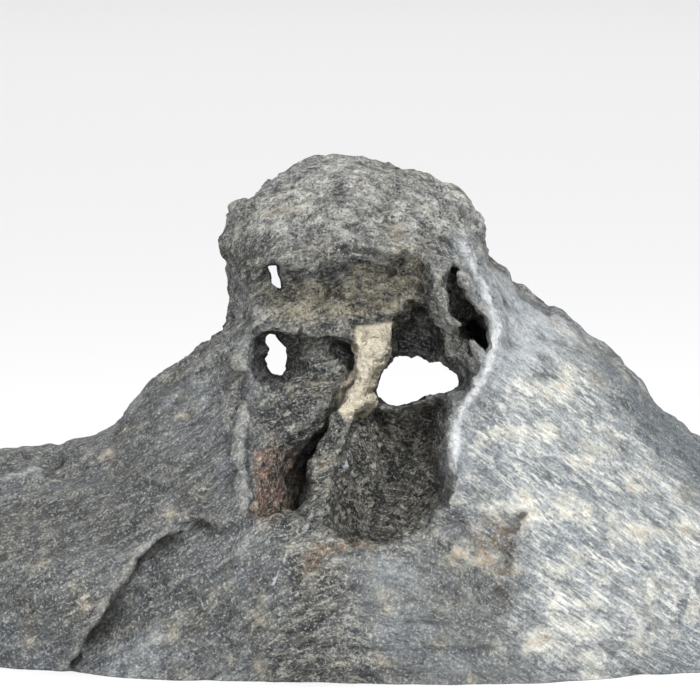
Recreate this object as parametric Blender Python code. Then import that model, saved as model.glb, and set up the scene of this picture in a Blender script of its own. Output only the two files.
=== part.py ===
"""A scholar's rock: a limestone mountain with a crown block, a pierced grotto under it and two long slopes.

The stone is one piece. It is carved as a field of distances on a regular grid, in millimetres:
a body between a skyline, a front relief and a back relief, then hollows taken out and ribs laid on.
The field becomes one closed mesh through Blender's OpenVDB module, its foot is cut flat and a
Decimate modifier leaves larger facets where the stone is plain.

+Z is up, the grotto faces -Y, and the origin is under the middle of the stone on its flat foot.
"""

import math

import bmesh
import bpy
import numpy as np
import openvdb

MM = 0.001

# The grid the stone is carved on, in millimetres: about 330 long, 160 deep and 142 high with a margin.
VOXEL = 1.5
MAP_STEP = 0.75
GRID_LOW = (-171.0, -98.0, -9.0)
GRID_HIGH = (171.0, 78.0, 148.0)

# How many triangles the finished stone keeps, and how often the carving is smoothed before that.
TRIANGLES = 9800
SMOOTH_PASSES = 1

# How far the map of an outline reaches past it, how far a hollow's window reaches below and above the
# outline because the view is tilted, how far any other window reaches past what it holds, and a depth
# past any of the stone.
MAP_MARGIN = 16.0
DOWN_MARGIN, UP_MARGIN = 20.0, 24.0
WINDOW_MARGIN = 12.0
WHOLE_DEPTH = 200.0

# How far a relief may pass by its places to stay smooth, and what brings splined noise to about -1 to 1.
RELIEF_SLACK = 8.0
NOISE_SPREAD = 0.45

# The skyline seen from the front: (x, z) in millimetres, from the left foot over the crown to the right
# foot.
SKYLINE = [
    (-160, -60), (-165, 6), (-163, 22), (-154, 38), (-141, 47), (-128, 53), (-114, 56), (-105, 54.5),
    (-103, 55.5), (-91, 55.5), (-89, 54), (-84.5, 56), (-78, 57), (-75, 59.5), (-69, 65.5), (-63, 70),
    (-57, 75.5), (-50.5, 79.5), (-48, 82), (-45, 84), (-42.5, 85), (-38, 88.5), (-36, 92.5), (-35.5, 99),
    (-35.5, 110), (-38, 112), (-39, 115), (-38.5, 118), (-36.5, 124), (-37, 126), (-36, 129), (-33, 131),
    (-29.5, 130.5), (-27, 132.5), (-21.5, 135.5), (-18, 136.5), (-15, 140), (-12, 141.5), (-9, 142.3),
    (-4.5, 142.3), (0, 141.5), (4.5, 140), (15, 138), (19.5, 136.5), (28.5, 133.5), (33, 132.5),
    (36, 130.5), (38, 129), (39, 126), (41, 122), (40.5, 118.5), (42, 114), (42.5, 110.5), (47.5, 107.5),
    (49, 103.5), (54, 99.5), (55.5, 98), (57.5, 97), (60, 94), (61.5, 95), (64.5, 94), (69, 90.5),
    (75, 85.5), (76.5, 83.5), (81, 79.5), (85.5, 75.5), (90, 69.5), (94, 65), (99.5, 60), (105.5, 55.5),
    (116, 44), (128, 34), (141, 27), (152, 19), (161, 9), (165, -1), (163, -60),
]

# The front relief before the hollows: (x, y, z) of places that the surface passes through.
FRONT = [
    # crown and its brow
    (-6, -11, 143), (-26, -12, 133), (23.5, -12, 136), (37, -10, 131), (0, -26, 132), (-15, -27, 128),
    (14.5, -30, 128), (29, -24, 127), (-26, -34, 114.5), (-14.5, -40, 116), (-3, -43, 117.5),
    (8.5, -43, 119), (19, -41, 119), (27.5, -35, 120), (-36, -12, 118.5), (-34, -14, 108), (-33, -18, 99),
    (37, -16, 122), (39.5, -18, 113),
    # brim of the grotto, right and left
    (35, -41, 114), (39, -48, 105.5), (41.5, -52, 98.5), (40, -55, 91.5), (36, -58, 83.5), (32, -59, 78),
    (30, -63, 69.5), (28.5, -69, 62), (25.5, -77, 52), (-29, -38, 92.5), (-30, -44, 81.5),
    (-30.5, -53, 71), (-30.5, -61, 60.5), (-28.5, -69, 50.5), (-25, -78, 43.5), (0, -38, 100),
    (0, -48, 80), (0, -62, 60),
    # right slope
    (47.5, -14, 107), (57, -16, 97.5), (66, -16, 93), (55.5, -34, 91.5), (61, -46, 81.5),
    (72.5, -50, 70.5), (49, -58, 77.5), (54, -67, 64.5), (71.5, -66, 56), (84.5, -42, 64),
    (96, -46, 52.5), (97.5, -68, 33), (73.5, -81, 35.5), (48, -80, 46.5), (36.5, -87, 36.5),
    (14, -89, 35.5), (118, -44, 34), (122, -60, 18), (145, -36, 18), (158, -20, 8),
    # left slope
    (-44.5, -11, 84), (-59.5, -11, 73), (-42.5, -34, 74), (-34.5, -42, 78), (-58.5, -34, 61),
    (-74, -24, 52.5), (-89.5, -14, 50), (-100, -16, 49), (-96.5, -40, 41), (-72.5, -54, 42),
    (-49, -61, 49), (-83.5, -65, 30), (-57, -73, 33.5), (-41.5, -72, 39), (-32.5, -77, 34.5),
    (-18.5, -86, 36.5), (-3, -89, 37.5), (-125, -16, 48), (-124, -38, 34), (-128, -50, 18),
    (-152, -26, 24), (-160, -18, 8),
    # foot
    (0, -88, 10), (40, -86, 12), (80, -78, 12), (110, -66, 8), (-45, -80, 12), (-85, -70, 12),
    (-110, -58, 10), (0, -80, -6), (80, -72, -6), (-85, -64, -6),
]

# The back relief: (x, y, z) of places that the surface passes through.
BACK = [
    (-6, 10, 143), (-30, 11, 131), (30, 11, 133), (0, 28, 130), (-20, 30, 122), (20, 33, 120),
    (0, 38, 112), (-36, 14, 108), (41, 16, 108), (0, 36, 98), (-24, 30, 96), (28, 32, 96), (-46, 11, 84),
    (-44, 30, 72), (52, 12, 102), (62, 12, 95), (56, 30, 84), (0, 34, 78), (-20, 40, 66), (26, 42, 66),
    (0, 52, 52), (-70, 14, 60), (-68, 38, 46), (-100, 14, 50), (-104, 34, 38), (-130, 12, 46),
    (-138, 26, 28), (-158, 14, 12), (82, 16, 72), (80, 40, 54), (104, 18, 50), (108, 38, 34),
    (134, 14, 28), (140, 28, 16), (158, 10, 8), (0, 66, 26), (-50, 60, 22), (50, 64, 24), (-90, 50, 16),
    (96, 52, 18), (-124, 38, 12), (128, 38, 10), (0, 68, 6), (-50, 62, 4), (52, 68, 6), (0, 60, -8),
    (-90, 48, -6), (96, 50, -6),
]

# How far the edges between the skyline and the reliefs are rounded, and what the skyline gains to make up
# for it.
SKY_ROUNDING = 7.0
SKY_GROWTH = 1.2
RELIEF_ROUNDING = 4.0


def axis_values(axis):
    count = int(round((GRID_HIGH[axis] - GRID_LOW[axis]) / VOXEL)) + 1
    return (GRID_LOW[axis] + VOXEL * np.arange(count)).astype(np.float32)


def spline_weights(values, spacing):
    """The cubic B-spline weights that read a lattice of the given spacing at the values, one row a value."""
    place = (values - values[0]) / spacing + 1
    cell = np.floor(place).astype(int)
    part = place - cell
    weights = np.zeros((len(values), cell.max() + 3), np.float32)
    rows = np.arange(len(values))
    weights[rows, cell - 1] = (1 - part) ** 3 / 6
    weights[rows, cell] = (3 * part**3 - 6 * part**2 + 4) / 6
    weights[rows, cell + 1] = (-3 * part**3 + 3 * part**2 + 3 * part + 1) / 6
    weights[rows, cell + 2] = part**3 / 6
    return weights


def smooth_noise(axes, spacing, seed):
    """Smooth noise between about -1 and 1 on the whole grid, with bumps about as wide as the spacing."""
    spacings = spacing if isinstance(spacing, tuple) else (spacing,) * 3
    wx, wy, wz = (spline_weights(a, s) for a, s in zip(axes, spacings))
    lattice = np.random.default_rng(seed).uniform(-1, 1, (wx.shape[1], wy.shape[1], wz.shape[1]))
    found = np.tensordot(wx, lattice.astype(np.float32), (1, 0))
    found = np.tensordot(found, wy, (1, 1))
    found = np.tensordot(found, wz, (1, 1))
    return found / NOISE_SPREAD


def relief(places, x, z):
    """A thin-plate surface y(x, z) through the places."""
    places = np.array(places, float)
    known = places[:, [0, 2]]

    def kernel(a, b):
        squared = ((a[:, None, :] - b[None, :, :]) ** 2).sum(-1)
        return 0.5 * squared * np.log(squared + 1e-9)

    count = len(known)
    flat = np.c_[np.ones(count), known]
    system = np.block([[kernel(known, known) + RELIEF_SLACK * np.eye(count), flat],
    [flat.T, np.zeros((3, 3))]])
    solved = np.linalg.solve(system, np.r_[places[:, 1], np.zeros(3)])
    gx, gz = np.meshgrid(x, z, indexing="ij")
    asked = np.c_[gx.ravel(), gz.ravel()].astype(float)
    made = kernel(asked, known) @ solved[:count] + solved[count] + asked @ solved[count + 1:]
    return made.reshape(gx.shape).astype(np.float32)


def outline_distance(outline, x, z):
    """The signed distance from a closed outline in the XZ plane, negative inside it."""
    points = np.array(outline, float)
    gx, gz = np.meshgrid(x, z, indexing="ij")
    nearest = np.full(gx.shape, 1e9)
    inside = np.zeros(gx.shape, bool)
    for (ax, az), (bx, bz) in zip(points, np.roll(points, -1, axis=0)):
        ex, ez = bx - ax, bz - az
        t = np.clip(((gx - ax) * ex + (gz - az) * ez) / (ex * ex + ez * ez), 0, 1)
        nearest = np.minimum(nearest, np.hypot(gx - ax - t * ex, gz - az - t * ez))
        crosses = (az > gz) != (bz > gz)
        with np.errstate(divide="ignore", invalid="ignore"):
            inside ^= crosses & (gx < ax + (gz - az) * ex / np.where(ez == 0, 1e-9, ez))
    return np.where(inside, -nearest, nearest).astype(np.float32)


def read_map(values, x, z, low_x, low_z, step):
    """A map with the given step, read between its points."""
    i = np.clip((x - low_x) / step, 0, values.shape[0] - 1.001)
    k = np.clip((z - low_z) / step, 0, values.shape[1] - 1.001)
    i0, k0 = i.astype(np.int32), k.astype(np.int32)
    a, b = i - i0, k - k0
    low = values[i0, k0] * (1 - b) + values[i0, k0 + 1] * b
    high = values[i0 + 1, k0] * (1 - b) + values[i0 + 1, k0 + 1] * b
    return low * (1 - a) + high * a


def seen(x, y, z):
    """Where a place shows in the front view: across and up, in millimetres at the stone's middle."""
    tilt = math.radians(VIEW_TILT)
    level = z - VIEW_HEIGHT
    scale = VIEW_DISTANCE / (VIEW_DISTANCE + y * math.cos(tilt) - level * math.sin(tilt))
    return x * scale, (level * math.cos(tilt) + y * math.sin(tilt)) * scale + VIEW_HEIGHT


def smooth_min(a, b, width):
    overlap = np.maximum(width - np.abs(a - b), 0) / width
    return np.minimum(a, b) - overlap * overlap * (width / 4)


def smooth_max(a, b, width):
    return -smooth_min(-a, -b, width)


# The hollows are drawn as they are seen from in front, a little from above: at this distance from the point
# at VIEW_HEIGHT over the origin, and this many degrees above the level.
VIEW_DISTANCE = 1300.0
VIEW_HEIGHT = 84.0
VIEW_TILT = 8.0

# Hollows: the outline (across, up) in that view, (across, y, up) of places on the floor, and how far the
# wall and the floor are rounded into each other.
GROTTO = {
    "grotto": (
        [(-29.5, 99), (-28, 109), (-24, 110.5), (-15, 111.5), (-3, 113.5), (6.5, 115), (15, 116),
         (21, 114.5), (24, 102), (27, 95.5), (32.5, 90), (39, 78.5), (36, 71.5), (31.5, 67.5), (28.5, 63),
         (26.5, 58.5), (25.5, 52.5), (27.5, 42), (24, 37.5), (19.5, 30.5), (15, 27.5), (6, 25.5),
         (-1.5, 26), (-5, 27.5), (-9.5, 30.5), (-15, 35), (-23.5, 32.5), (-29.5, 36), (-29, 48),
         (-30, 63), (-29.5, 75), (-29, 87)],
        [(-24, -24, 109), (0, -25, 111), (20, -28, 113), (-26, -26, 100), (0, -26, 101), (20, -29, 102),
         (-27, -31, 93), (0, -33, 92), (14, -33, 93), (8, -33, 85), (3, -36, 75), (0, -39, 67),
         (-20, -31, 73), (-22, -36, 64), (-1, -47, 58), (-6, -57, 48), (-10, -66, 39), (-12, -74, 31),
         (-24, -42, 60), (-28, -60, 45), (20, -45, 58), (26, -60, 48), (20, -75, 34), (27, -36, 96),
         (31, -38, 89), (36, -44, 80), (5, -84, 28)],
        3),
}
CAVES = {
    "left_cave": (
        [(-27.5, 87.5), (-24, 89.5), (-20, 87.5), (-15, 86), (-9.5, 85), (-5.5, 85), (-5, 81), (-5.5, 77),
         (-10, 75.5), (-15, 75.5), (-19, 74.5), (-23.5, 74), (-26.5, 75.5), (-28, 80.5)],
        [(-28, -15, 84), (-22, -13, 88), (-20, -13, 80), (-12, -24, 82), (-5, -26, 80), (-10, -27, 76),
         (-24, -16, 75), (-28, -18, 78)], 4),
    "window_recess": (
        [(16, 92.5), (18.5, 93.5), (19, 97.5), (22, 98), (24, 93.5), (26, 90), (27.5, 85.5), (29, 82),
         (32.5, 80), (35, 77), (35.5, 74), (33.5, 72.5), (29, 71), (24.5, 70), (22, 68.5), (18, 67),
         (14, 66.5), (11, 67), (8, 68.5), (6.5, 71), (8, 75), (11, 79.5), (14, 84.5)],
        [(20, -8, 97), (26, -10, 88), (20, -7, 84), (32, -20, 79), (35, -24, 73), (10, -7, 70),
         (25, -7, 72)], 4),
    "bowl": (
        [(8.5, 67.5), (15, 66.5), (24, 69), (29, 69.5), (28.5, 65), (27.5, 61.5), (26.5, 58),
         (25.5, 53.5), (26, 49), (27.5, 44.5), (27.5, 41.5), (26, 38.5), (24, 37.5), (22, 34),
         (19.5, 30.5), (16, 29), (15, 27.5), (10.5, 26.5), (6, 25.5), (-1.5, 26), (-4, 27.5), (-6, 31),
         (-6, 36.5), (-4, 42.5), (-1.5, 49), (1, 57), (3.5, 63.5)],
        [(10, -14, 66), (27, -16, 66), (25, -22, 54), (12, -20, 54), (4, -32, 58), (1, -43, 50),
         (-2, -52, 42), (-4, -60, 34), (14, -26, 42), (22, -38, 38), (2, -44, 30), (16, -44, 30)], 5),
    "pocket": (
        [(-28.5, 57), (-29, 45), (-28, 39), (-29.5, 36), (-26.5, 33), (-23.5, 32.5), (-19.5, 36.5),
         (-16, 35.5), (-15, 39), (-14, 45), (-13, 50.5), (-11.5, 54), (-11, 59), (-15, 61), (-24.5, 61),
         (-27.5, 60)],
        [(-26, -46, 60), (-15, -40, 60), (-27, -54, 50), (-15, -28, 50), (-27, -60, 40), (-16, -32, 38),
         (-22, -50, 36)], 3),
    "slit": (
        [(-2, 74.5), (-3.5, 70.5), (-5.5, 67), (-7.5, 62.5), (-8.5, 58.5), (-9, 55), (-10, 53.5),
         (-12.5, 51.5), (-13.5, 48.5), (-14, 44.5), (-15.5, 39.5), (-16, 35.5), (-18.5, 35.5), (-19, 39),
         (-18.5, 44), (-17, 48), (-15, 52), (-13, 56.5), (-11, 60.5), (-9, 65), (-6.5, 68.5),
         (-4.5, 72.5), (-3.5, 74.5)],
        [(-3, -34, 74), (-6, -34, 67), (-10, -31, 60), (-12, -20, 54), (-17, -22, 46), (-19, -24, 38)],
         1.5),
    "side_hollow": (
        [(28, 104.5), (29.5, 109.5), (32.5, 109.5), (34, 104.5), (35.5, 99.5), (38.5, 95), (41, 91),
         (42.5, 85.5), (41.5, 81), (40, 79), (38.5, 83.5), (37, 86.5), (34, 89), (32.5, 92), (29.5, 94),
         (28, 98.5)],
        [(29, -36, 106), (33, -22, 106), (31, -33, 98), (36, -21, 96), (36, -26, 88), (41, -18, 86),
         (39, -20, 82)], 3),
    "side_depth": (
        [(35, 92), (37.5, 93), (40, 89.5), (41.5, 84), (40, 81), (38, 85.5)],
        [(36, 0, 92), (39, 2, 86), (38, 0, 82)], 2),
    "dimple": (
        [(-4.5, 84), (-3.5, 85), (-1.5, 85), (-0.5, 83.5), (0, 80.5), (-1, 78.5), (-2.5, 77.5),
         (-4, 78.5), (-4.5, 80.5)],
        [(-5, -20, 85), (0, -15, 84), (-3, -24, 78)], 2),
}
OPENINGS = {
    "window": (
        [(7.5, 72), (8.5, 75), (10.5, 78.5), (12.5, 81), (16, 82), (18.5, 81.5), (22.5, 81.5), (24.5, 80),
         (27, 80.5), (29.5, 79), (31, 77.5), (33, 76), (33.5, 74.5), (32.5, 72.5), (28.5, 71.5),
         (24.5, 70.5), (22, 69), (18, 68), (14, 67), (11.5, 68), (8.5, 69)],
        [(0, 60, 60), (30, 60, 60), (20, 60, 90)], 2),
    "left_opening": (
        [(-25, 89), (-22.5, 88.5), (-21, 86), (-20, 84.5), (-20, 79), (-20, 76.5), (-21.5, 75.5),
         (-24, 76.5), (-25, 78.5), (-25.5, 81.5), (-24.5, 84), (-25.5, 86.5)],
        [(-30, 60, 70), (-10, 60, 70), (-20, 60, 90)], 2),
    "upper_opening": (
        [(-25.5, 109.5), (-22, 109.5), (-21.5, 107), (-21, 105), (-20.5, 102), (-22, 102), (-24, 104.5),
         (-24, 107)],
        [(-30, 60, 100), (-10, 60, 100), (-20, 60, 120)], 2),
}

# Hollows on the back that the openings run into: where, half sizes and how square (2 is an ellipsoid).
REAR_HOLLOWS = {
    "rear_window": ((20, 38, 70), (21, 36, 14), 2.2),
    "rear_left": ((-24, 32, 80), (11, 33, 13), 2.2),
    "rear_upper": ((-25, 28, 105), (9, 33, 9), 2.2),
}

# Lumps laid on after the grotto: (x, y, z, radius) along each.
RIBS = {
    "shelf": [(-26, -30, 70, 4), (-20, -30, 71, 6), (-12, -29, 73, 5), (-6, -28, 75, 3)],
    "rib_head": [(0, -42, 66, 4), (-2, -46, 61, 5.5), (-6, -52, 53, 5), (-9, -60, 44, 3.5)],
    "partition": [(25, -33, 102, 3.5), (28, -33, 94, 4.5), (32, -32, 87, 4.5), (35, -34, 80, 3)],
    "sliver": [(34, -34, 87, 1.8), (37, -38, 82, 2), (40, -44, 78, 2)],
    "left_ridge": [(-29, -29, 93.5, 3), (-31, -36, 86, 4), (-31, -46, 76, 4.5), (-31.5, -55, 66, 4),
                   (-31, -62, 55.5, 4), (-29.5, -71, 48, 2.5)],
    "brow": [(-25, -31, 113, 3), (-14.5, -37, 115.5, 3.5), (-3, -39, 118, 3.5), (8.5, -39, 119, 3.5),
             (17, -37, 119.5, 3)],
    "pillar": [(9.5, -31, 95, 4.5), (5.5, -32, 86, 4.2), (2.5, -35, 74, 4.5), (0.5, -38, 69, 4.5)],
    "alcove_column": [(18, -31, 114, 3), (18, -29, 107, 4), (17, -32, 98, 4)],
    "alcove_limb": [(25, -36, 117, 3), (26, -36, 108, 4), (26, -34, 101, 4)],
}

# Furrows and cracks cut into the skin: (x, y, z, radius) along each.
FURROWS = {
    "brow_crack": [(-26, -34, 118.5, 0.8), (-14.5, -40, 121, 1.2), (-3, -42, 122.5, 1.2),
                   (12, -41, 123.5, 0.6)],
    "wall_crack": [(-26, -31, 96, 0.7), (-15, -32, 95, 1), (0, -33, 95, 1.2), (14, -33, 95.5, 1)],
    "front_crevice": [(-9, -86, 41, 1.2), (-11.5, -88, 38, 1.8), (-16, -90, 31, 1.6), (-20, -90, 22, 1)],
    "shoulder_notch": [(-88.5, 0, 55.5, 1.4), (-89, -9.5, 52, 1.4), (-90, -14, 49, 1)],
    "plate_crack": [(-96, -45, 39, 0.8), (-89, -45, 40, 1.1), (-84.5, -45, 41, 1), (-79, -42, 44, 0.7)],
}

# Steps in the slopes, drawn in the same way as the hollows.
STEPS = {
    "fold": (
        [(-84, -14), (-78, -2), (-69.5, 8), (-60, 20.5), (-51.5, 27.5), (-45.5, 33), (-36.5, 32.5),
         (-33, 30), (-37, 25), (-42, 15), (-46, 2), (-48, -14)],
        [(-78, -62, -4), (-60, -66, 20), (-48, -63, 30), (-38, -67, 32), (-39, -79, 25), (-47, -84, 8)], 6),
    "pit": (
        [(-51, 68), (-46, 73), (-45, 75.5), (-38, 76.5), (-31, 76), (-31, 74), (-33, 71.5), (-38.5, 70),
         (-42, 68.5), (-45, 69), (-48, 67)],
        [(-46, -19, 75), (-38, -30.5, 76), (-32, -38.5, 76), (-49, -25, 68), (-38, -38, 70),
         (-33, -43, 71)], 3),
    "right_step": (
        [(36, 30), (38, 33), (45, 33.5), (52, 34.5), (49, 29), (47.5, 25.5), (46, 14), (45, 0), (39, 0),
         (38, 12), (39, 21), (36.5, 26)],
        [(38, -80, 31), (50, -76.5, 32.5), (45, -84, 20), (42, -87, 8)], 4),
}

# Noise, each as (width of a bump, size) in millimetres: what bends the places before the carving, and
# what is added to the surface, rounded and sharp.
WARPS = ((26, 0.7), (9, 0.7), (4.5, 0.4))
ROUGHNESS = ((34, 1.8), (15, 1.0), (7, 0.6), (4, 0.35))
CREASES = ((22, 2.0), (10, 1.0))
# How much of the noise's range lies inside a crease.
CREASE_SHARE = 0.35
# Rounded bumps wider than this fade out this near to the skyline, so that it keeps its line, down to the
# share.
CALM_EDGE = 12.0
CALM_SHARE = 0.2

# The ledges that follow the skyline: their spacing, their size, where along the spacing one is at its
# highest, the noise that makes them wander, and the width of the stretches that have none.
LEDGES = {"spacing": 8.0, "size": 0.8, "brow": 0.8, "wander": (40, 5.0), "gaps": 30}

# The first seed of each kind of noise.
SEEDS = {"warp": 100, "bump": 200, "crease": 300, "ledge": 400}


class Carving:
    """The stone as a field of distances in millimetres on the grid, negative inside the stone."""

    def __init__(self):
        self.axes = [axis_values(i) for i in range(3)]
        plain = np.meshgrid(*self.axes, indexing="ij", sparse=True)
        self.places = []
        for axis, values in enumerate(plain):
            bent = np.zeros([len(a) for a in self.axes], np.float32) + values
            for step, (spacing, size) in enumerate(WARPS):
                bent += size * smooth_noise(self.axes, spacing, SEEDS["warp"] + 10 * axis + step)
            self.places.append(bent)
        self.field = self.body()

    def at_columns(self, column_map):
        """A map over x and z, read at the bent places."""
        return read_map(column_map, self.places[0], self.places[2], self.axes[0][0], self.axes[2][0], VOXEL)

    def body(self):
        """The stone before the hollows: the space between the skyline and the two reliefs."""
        x, _, z = self.axes
        front, back = relief(FRONT, x, z), relief(BACK, x, z)
        y = self.places[1]
        sides = []
        for surface, sign in ((front, 1), (back, -1)):
            steepness = np.sqrt(1 + sum(g**2 for g in np.gradient(surface, VOXEL)))
            sides.append(sign * (self.at_columns(surface) - y) / self.at_columns(steepness))
        between = smooth_max(*sides, RELIEF_ROUNDING)
        self.sky = self.at_columns(outline_distance(SKYLINE, x, z)) - SKY_GROWTH
        return smooth_max(between, self.sky, SKY_ROUNDING)

    def window_round(self, low, high):
        """The part of the grid between two corners."""
        return tuple(slice(*np.searchsorted(axis, (lo, hi))) for axis, lo, hi in zip(self.axes, low, high))

    def ellipsoid(self, part, centre, half, square):
        """Roughly the distance from a squared ellipsoid."""
        x, y, z = (place[part] - c for place, c in zip(self.places, centre))
        shape = sum(np.abs(v / h) ** square for v, h in zip((x, y, z), half)) ** (1 / square)
        away = np.sqrt(x * x + y * y + z * z)
        return away * (1 - 1 / np.maximum(shape, 1e-3))

    def rope(self, part, points):
        """The distance from a rope of changing radius through the points."""
        x, y, z = (place[part] for place in self.places)
        nearest = np.full(x.shape, 1e3, np.float32)
        for (ax, ay, az, ar), (bx, by, bz, br) in zip(points, points[1:]):
            ex, ey, ez = bx - ax, by - ay, bz - az
            t = np.clip(((x - ax) * ex + (y - ay) * ey + (z - az) * ez) / (ex**2 + ey**2 + ez**2), 0, 1)
            gap = np.sqrt((x - ax - t * ex) ** 2 + (y - ay - t * ey) ** 2 + (z - az - t * ez) ** 2)
            nearest = smooth_min(nearest, gap - (ar + t * (br - ar)), 3.0)
        return nearest

    def drawn_hollow(self, part, outline, floor, rounding):
        """The distance from a hollow that is drawn in the front view, negative in the open space."""
        x, y, z = (place[part] for place in self.places)
        across, up = seen(x, y, z)
        low, high = np.min(outline, 0) - MAP_MARGIN, np.max(outline, 0) + MAP_MARGIN
        axes = [np.arange(lo, hi + MAP_STEP, MAP_STEP) for lo, hi in zip(low, high)]
        wall = read_map(outline_distance(outline, *axes), across, up, low[0], low[1], MAP_STEP)
        depth = read_map(relief(floor, *axes), across, up, low[0], low[1], MAP_STEP)
        return smooth_max(wall, y - depth, rounding)

    def take_out(self, hollows, blend, edge):
        """Hollows run together over the blend, and the stone's edge round them is rounded over the edge."""
        taken = np.full(self.field.shape, 1e3, np.float32)
        for outline, floor, rounding in hollows.values():
            (left, down), (right, up) = np.min(outline, 0), np.max(outline, 0)
            low = (left - WINDOW_MARGIN, -WHOLE_DEPTH, down - DOWN_MARGIN)
            high = (right + WINDOW_MARGIN, WHOLE_DEPTH, up + UP_MARGIN)
            part = self.window_round(low, high)
            hollow = self.drawn_hollow(part, outline, floor, rounding)
            taken[part] = smooth_min(taken[part], hollow, blend)
        self.field = smooth_max(self.field, -taken, edge)

    def scoop(self, scoops, edge):
        for centre, half, square in scoops.values():
            reach = np.add(half, WINDOW_MARGIN)
            part = self.window_round(np.subtract(centre, reach), np.add(centre, reach))
            self.field[part] = smooth_max(self.field[part],
            -self.ellipsoid(part, centre, half, square), edge)

    def along(self, points):
        """The part of the grid round a rope."""
        points = np.array(points)
        reach = points[:, 3].max() + WINDOW_MARGIN
        return self.window_round(points[:, :3].min(0) - reach, points[:, :3].max(0) + reach)

    def lay_on(self, ribs, blend):
        for points in ribs.values():
            part = self.along(points)
            self.field[part] = smooth_min(self.field[part], self.rope(part, points), blend)

    def cut_in(self, furrows, edge):
        for points in furrows.values():
            part = self.along(points)
            self.field[part] = smooth_max(self.field[part], -self.rope(part, points), edge)

    def roughen(self):
        """Rounded bumps, sharp creases and ledges that run along the skyline."""
        calm = np.clip(-self.sky / CALM_EDGE, CALM_SHARE, 1)
        for step, (spacing, size) in enumerate(ROUGHNESS):
            noise = size * smooth_noise(self.axes, spacing, SEEDS["bump"] + step)
            self.field += noise * calm if spacing > CALM_EDGE else noise
        for step, (spacing, size) in enumerate(CREASES):
            noise = smooth_noise(self.axes, spacing, SEEDS["crease"] + step)
            self.field += size * (CREASE_SHARE - np.abs(noise))
        width, size = LEDGES["wander"]
        depth = (self.sky + size * smooth_noise(self.axes, width, SEEDS["ledge"])) / LEDGES["spacing"]
        depth -= np.floor(depth)
        rise, fall = depth / LEDGES["brow"], (1 - depth) / (1 - LEDGES["brow"])
        shown = np.clip(0.5 + smooth_noise(self.axes, LEDGES["gaps"], SEEDS["ledge"] + 1), 0, 1)
        self.field += LEDGES["size"] * (np.minimum(rise**3, fall) - 0.25) * shown


def carve():
    stone = Carving()
    stone.take_out(GROTTO, blend=1, edge=2)
    stone.lay_on(RIBS, blend=4)
    stone.take_out(CAVES, blend=2, edge=1.5)
    stone.scoop(REAR_HOLLOWS, edge=8)
    stone.take_out(STEPS, blend=1, edge=2.5)
    stone.cut_in(FURROWS, edge=1.5)
    stone.roughen()
    stone.take_out(OPENINGS, blend=1, edge=1)
    return stone.field


def surface_of(field):
    """A mesh in metres of where the field is zero, without loose crumbs."""
    grid = openvdb.FloatGrid(5.0)
    grid.copyFromArray(np.clip(field, -5, 5).astype(np.float32))
    points, triangles, quads = grid.convertToPolygons(isovalue=0.0, adaptivity=0.0)
    points = (np.array(GRID_LOW) + points * VOXEL) * MM
    mesh = bpy.data.meshes.new("rock")
    mesh.from_pydata(points.tolist(), [], triangles.tolist() + quads.tolist())
    keep_largest(mesh)
    return mesh


def keep_largest(mesh):
    work = bmesh.new()
    work.from_mesh(mesh)
    islands, seen = [], set()
    for start in work.verts:
        if start in seen:
            continue
        island, queue = [], [start]
        seen.add(start)
        while queue:
            vertex = queue.pop()
            island.append(vertex)
            for edge in vertex.link_edges:
                other = edge.other_vert(vertex)
                if other not in seen:
                    seen.add(other)
                    queue.append(other)
        islands.append(island)
    islands.sort(key=len)
    for island in islands[:-1]:
        bmesh.ops.delete(work, geom=island, context="VERTS")
    work.normal_update()
    if work.calc_volume(signed=True) < 0:
        bmesh.ops.reverse_faces(work, faces=work.faces)
    work.to_mesh(mesh)
    work.free()


def flatten_foot(mesh):
    """Cuts the stone level at z = 0 and closes the cut with one flat face."""
    work = bmesh.new()
    work.from_mesh(mesh)
    bmesh.ops.bisect_plane(work, geom=work.verts[:] + work.edges[:] + work.faces[:], dist=1e-6,
                           plane_co=(0, 0, 0), plane_no=(0, 0, -1), clear_outer=True)
    bmesh.ops.holes_fill(work, edges=[e for e in work.edges if e.is_boundary], sides=0)
    bmesh.ops.triangulate(work, faces=[f for f in work.faces if len(f.verts) > 3])
    work.to_mesh(mesh)
    work.free()


def centre_over_origin(mesh):
    places = np.array([v.co for v in mesh.vertices])
    middle = (places.min(0) + places.max(0)) / 2
    print("middle of the stone, mm:", np.round(middle / MM, 3))
    for vertex in mesh.vertices:
        vertex.co.x -= middle[0]
        vertex.co.y -= middle[1]


def stone_material():
    material = bpy.data.materials.new("weathered_limestone")
    material.use_nodes = True
    shader = material.node_tree.nodes["Principled BSDF"]
    shader.inputs["Base Color"].default_value = (0.22, 0.23, 0.225, 1)
    shader.inputs["Roughness"].default_value = 0.72
    shader.inputs["Metallic"].default_value = 0.0
    return material


def make_rock():
    rough = bpy.data.objects.new("rough", surface_of(carve()))
    print("dense faces", len(rough.data.polygons))
    bpy.context.scene.collection.objects.link(rough)
    smooth = rough.modifiers.new("soften", "SMOOTH")
    smooth.factor, smooth.iterations = 0.5, SMOOTH_PASSES
    fewer = rough.modifiers.new("fewer_faces", "DECIMATE")
    fewer.ratio = TRIANGLES / (2 * len(rough.data.polygons))
    bpy.context.view_layer.update()
    evaluated = rough.evaluated_get(bpy.context.evaluated_depsgraph_get())
    mesh = bpy.data.meshes.new_from_object(evaluated)
    bpy.data.objects.remove(rough)
    flatten_foot(mesh)
    centre_over_origin(mesh)
    mesh.materials.clear()
    mesh.materials.append(stone_material())
    mesh.shade_smooth()
    rock = bpy.data.objects.new("rock", mesh)
    bpy.context.scene.collection.objects.link(rock)


def main():
    for old in list(bpy.data.objects):
        bpy.data.objects.remove(old)
    make_rock()


main()
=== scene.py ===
import math

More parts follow.
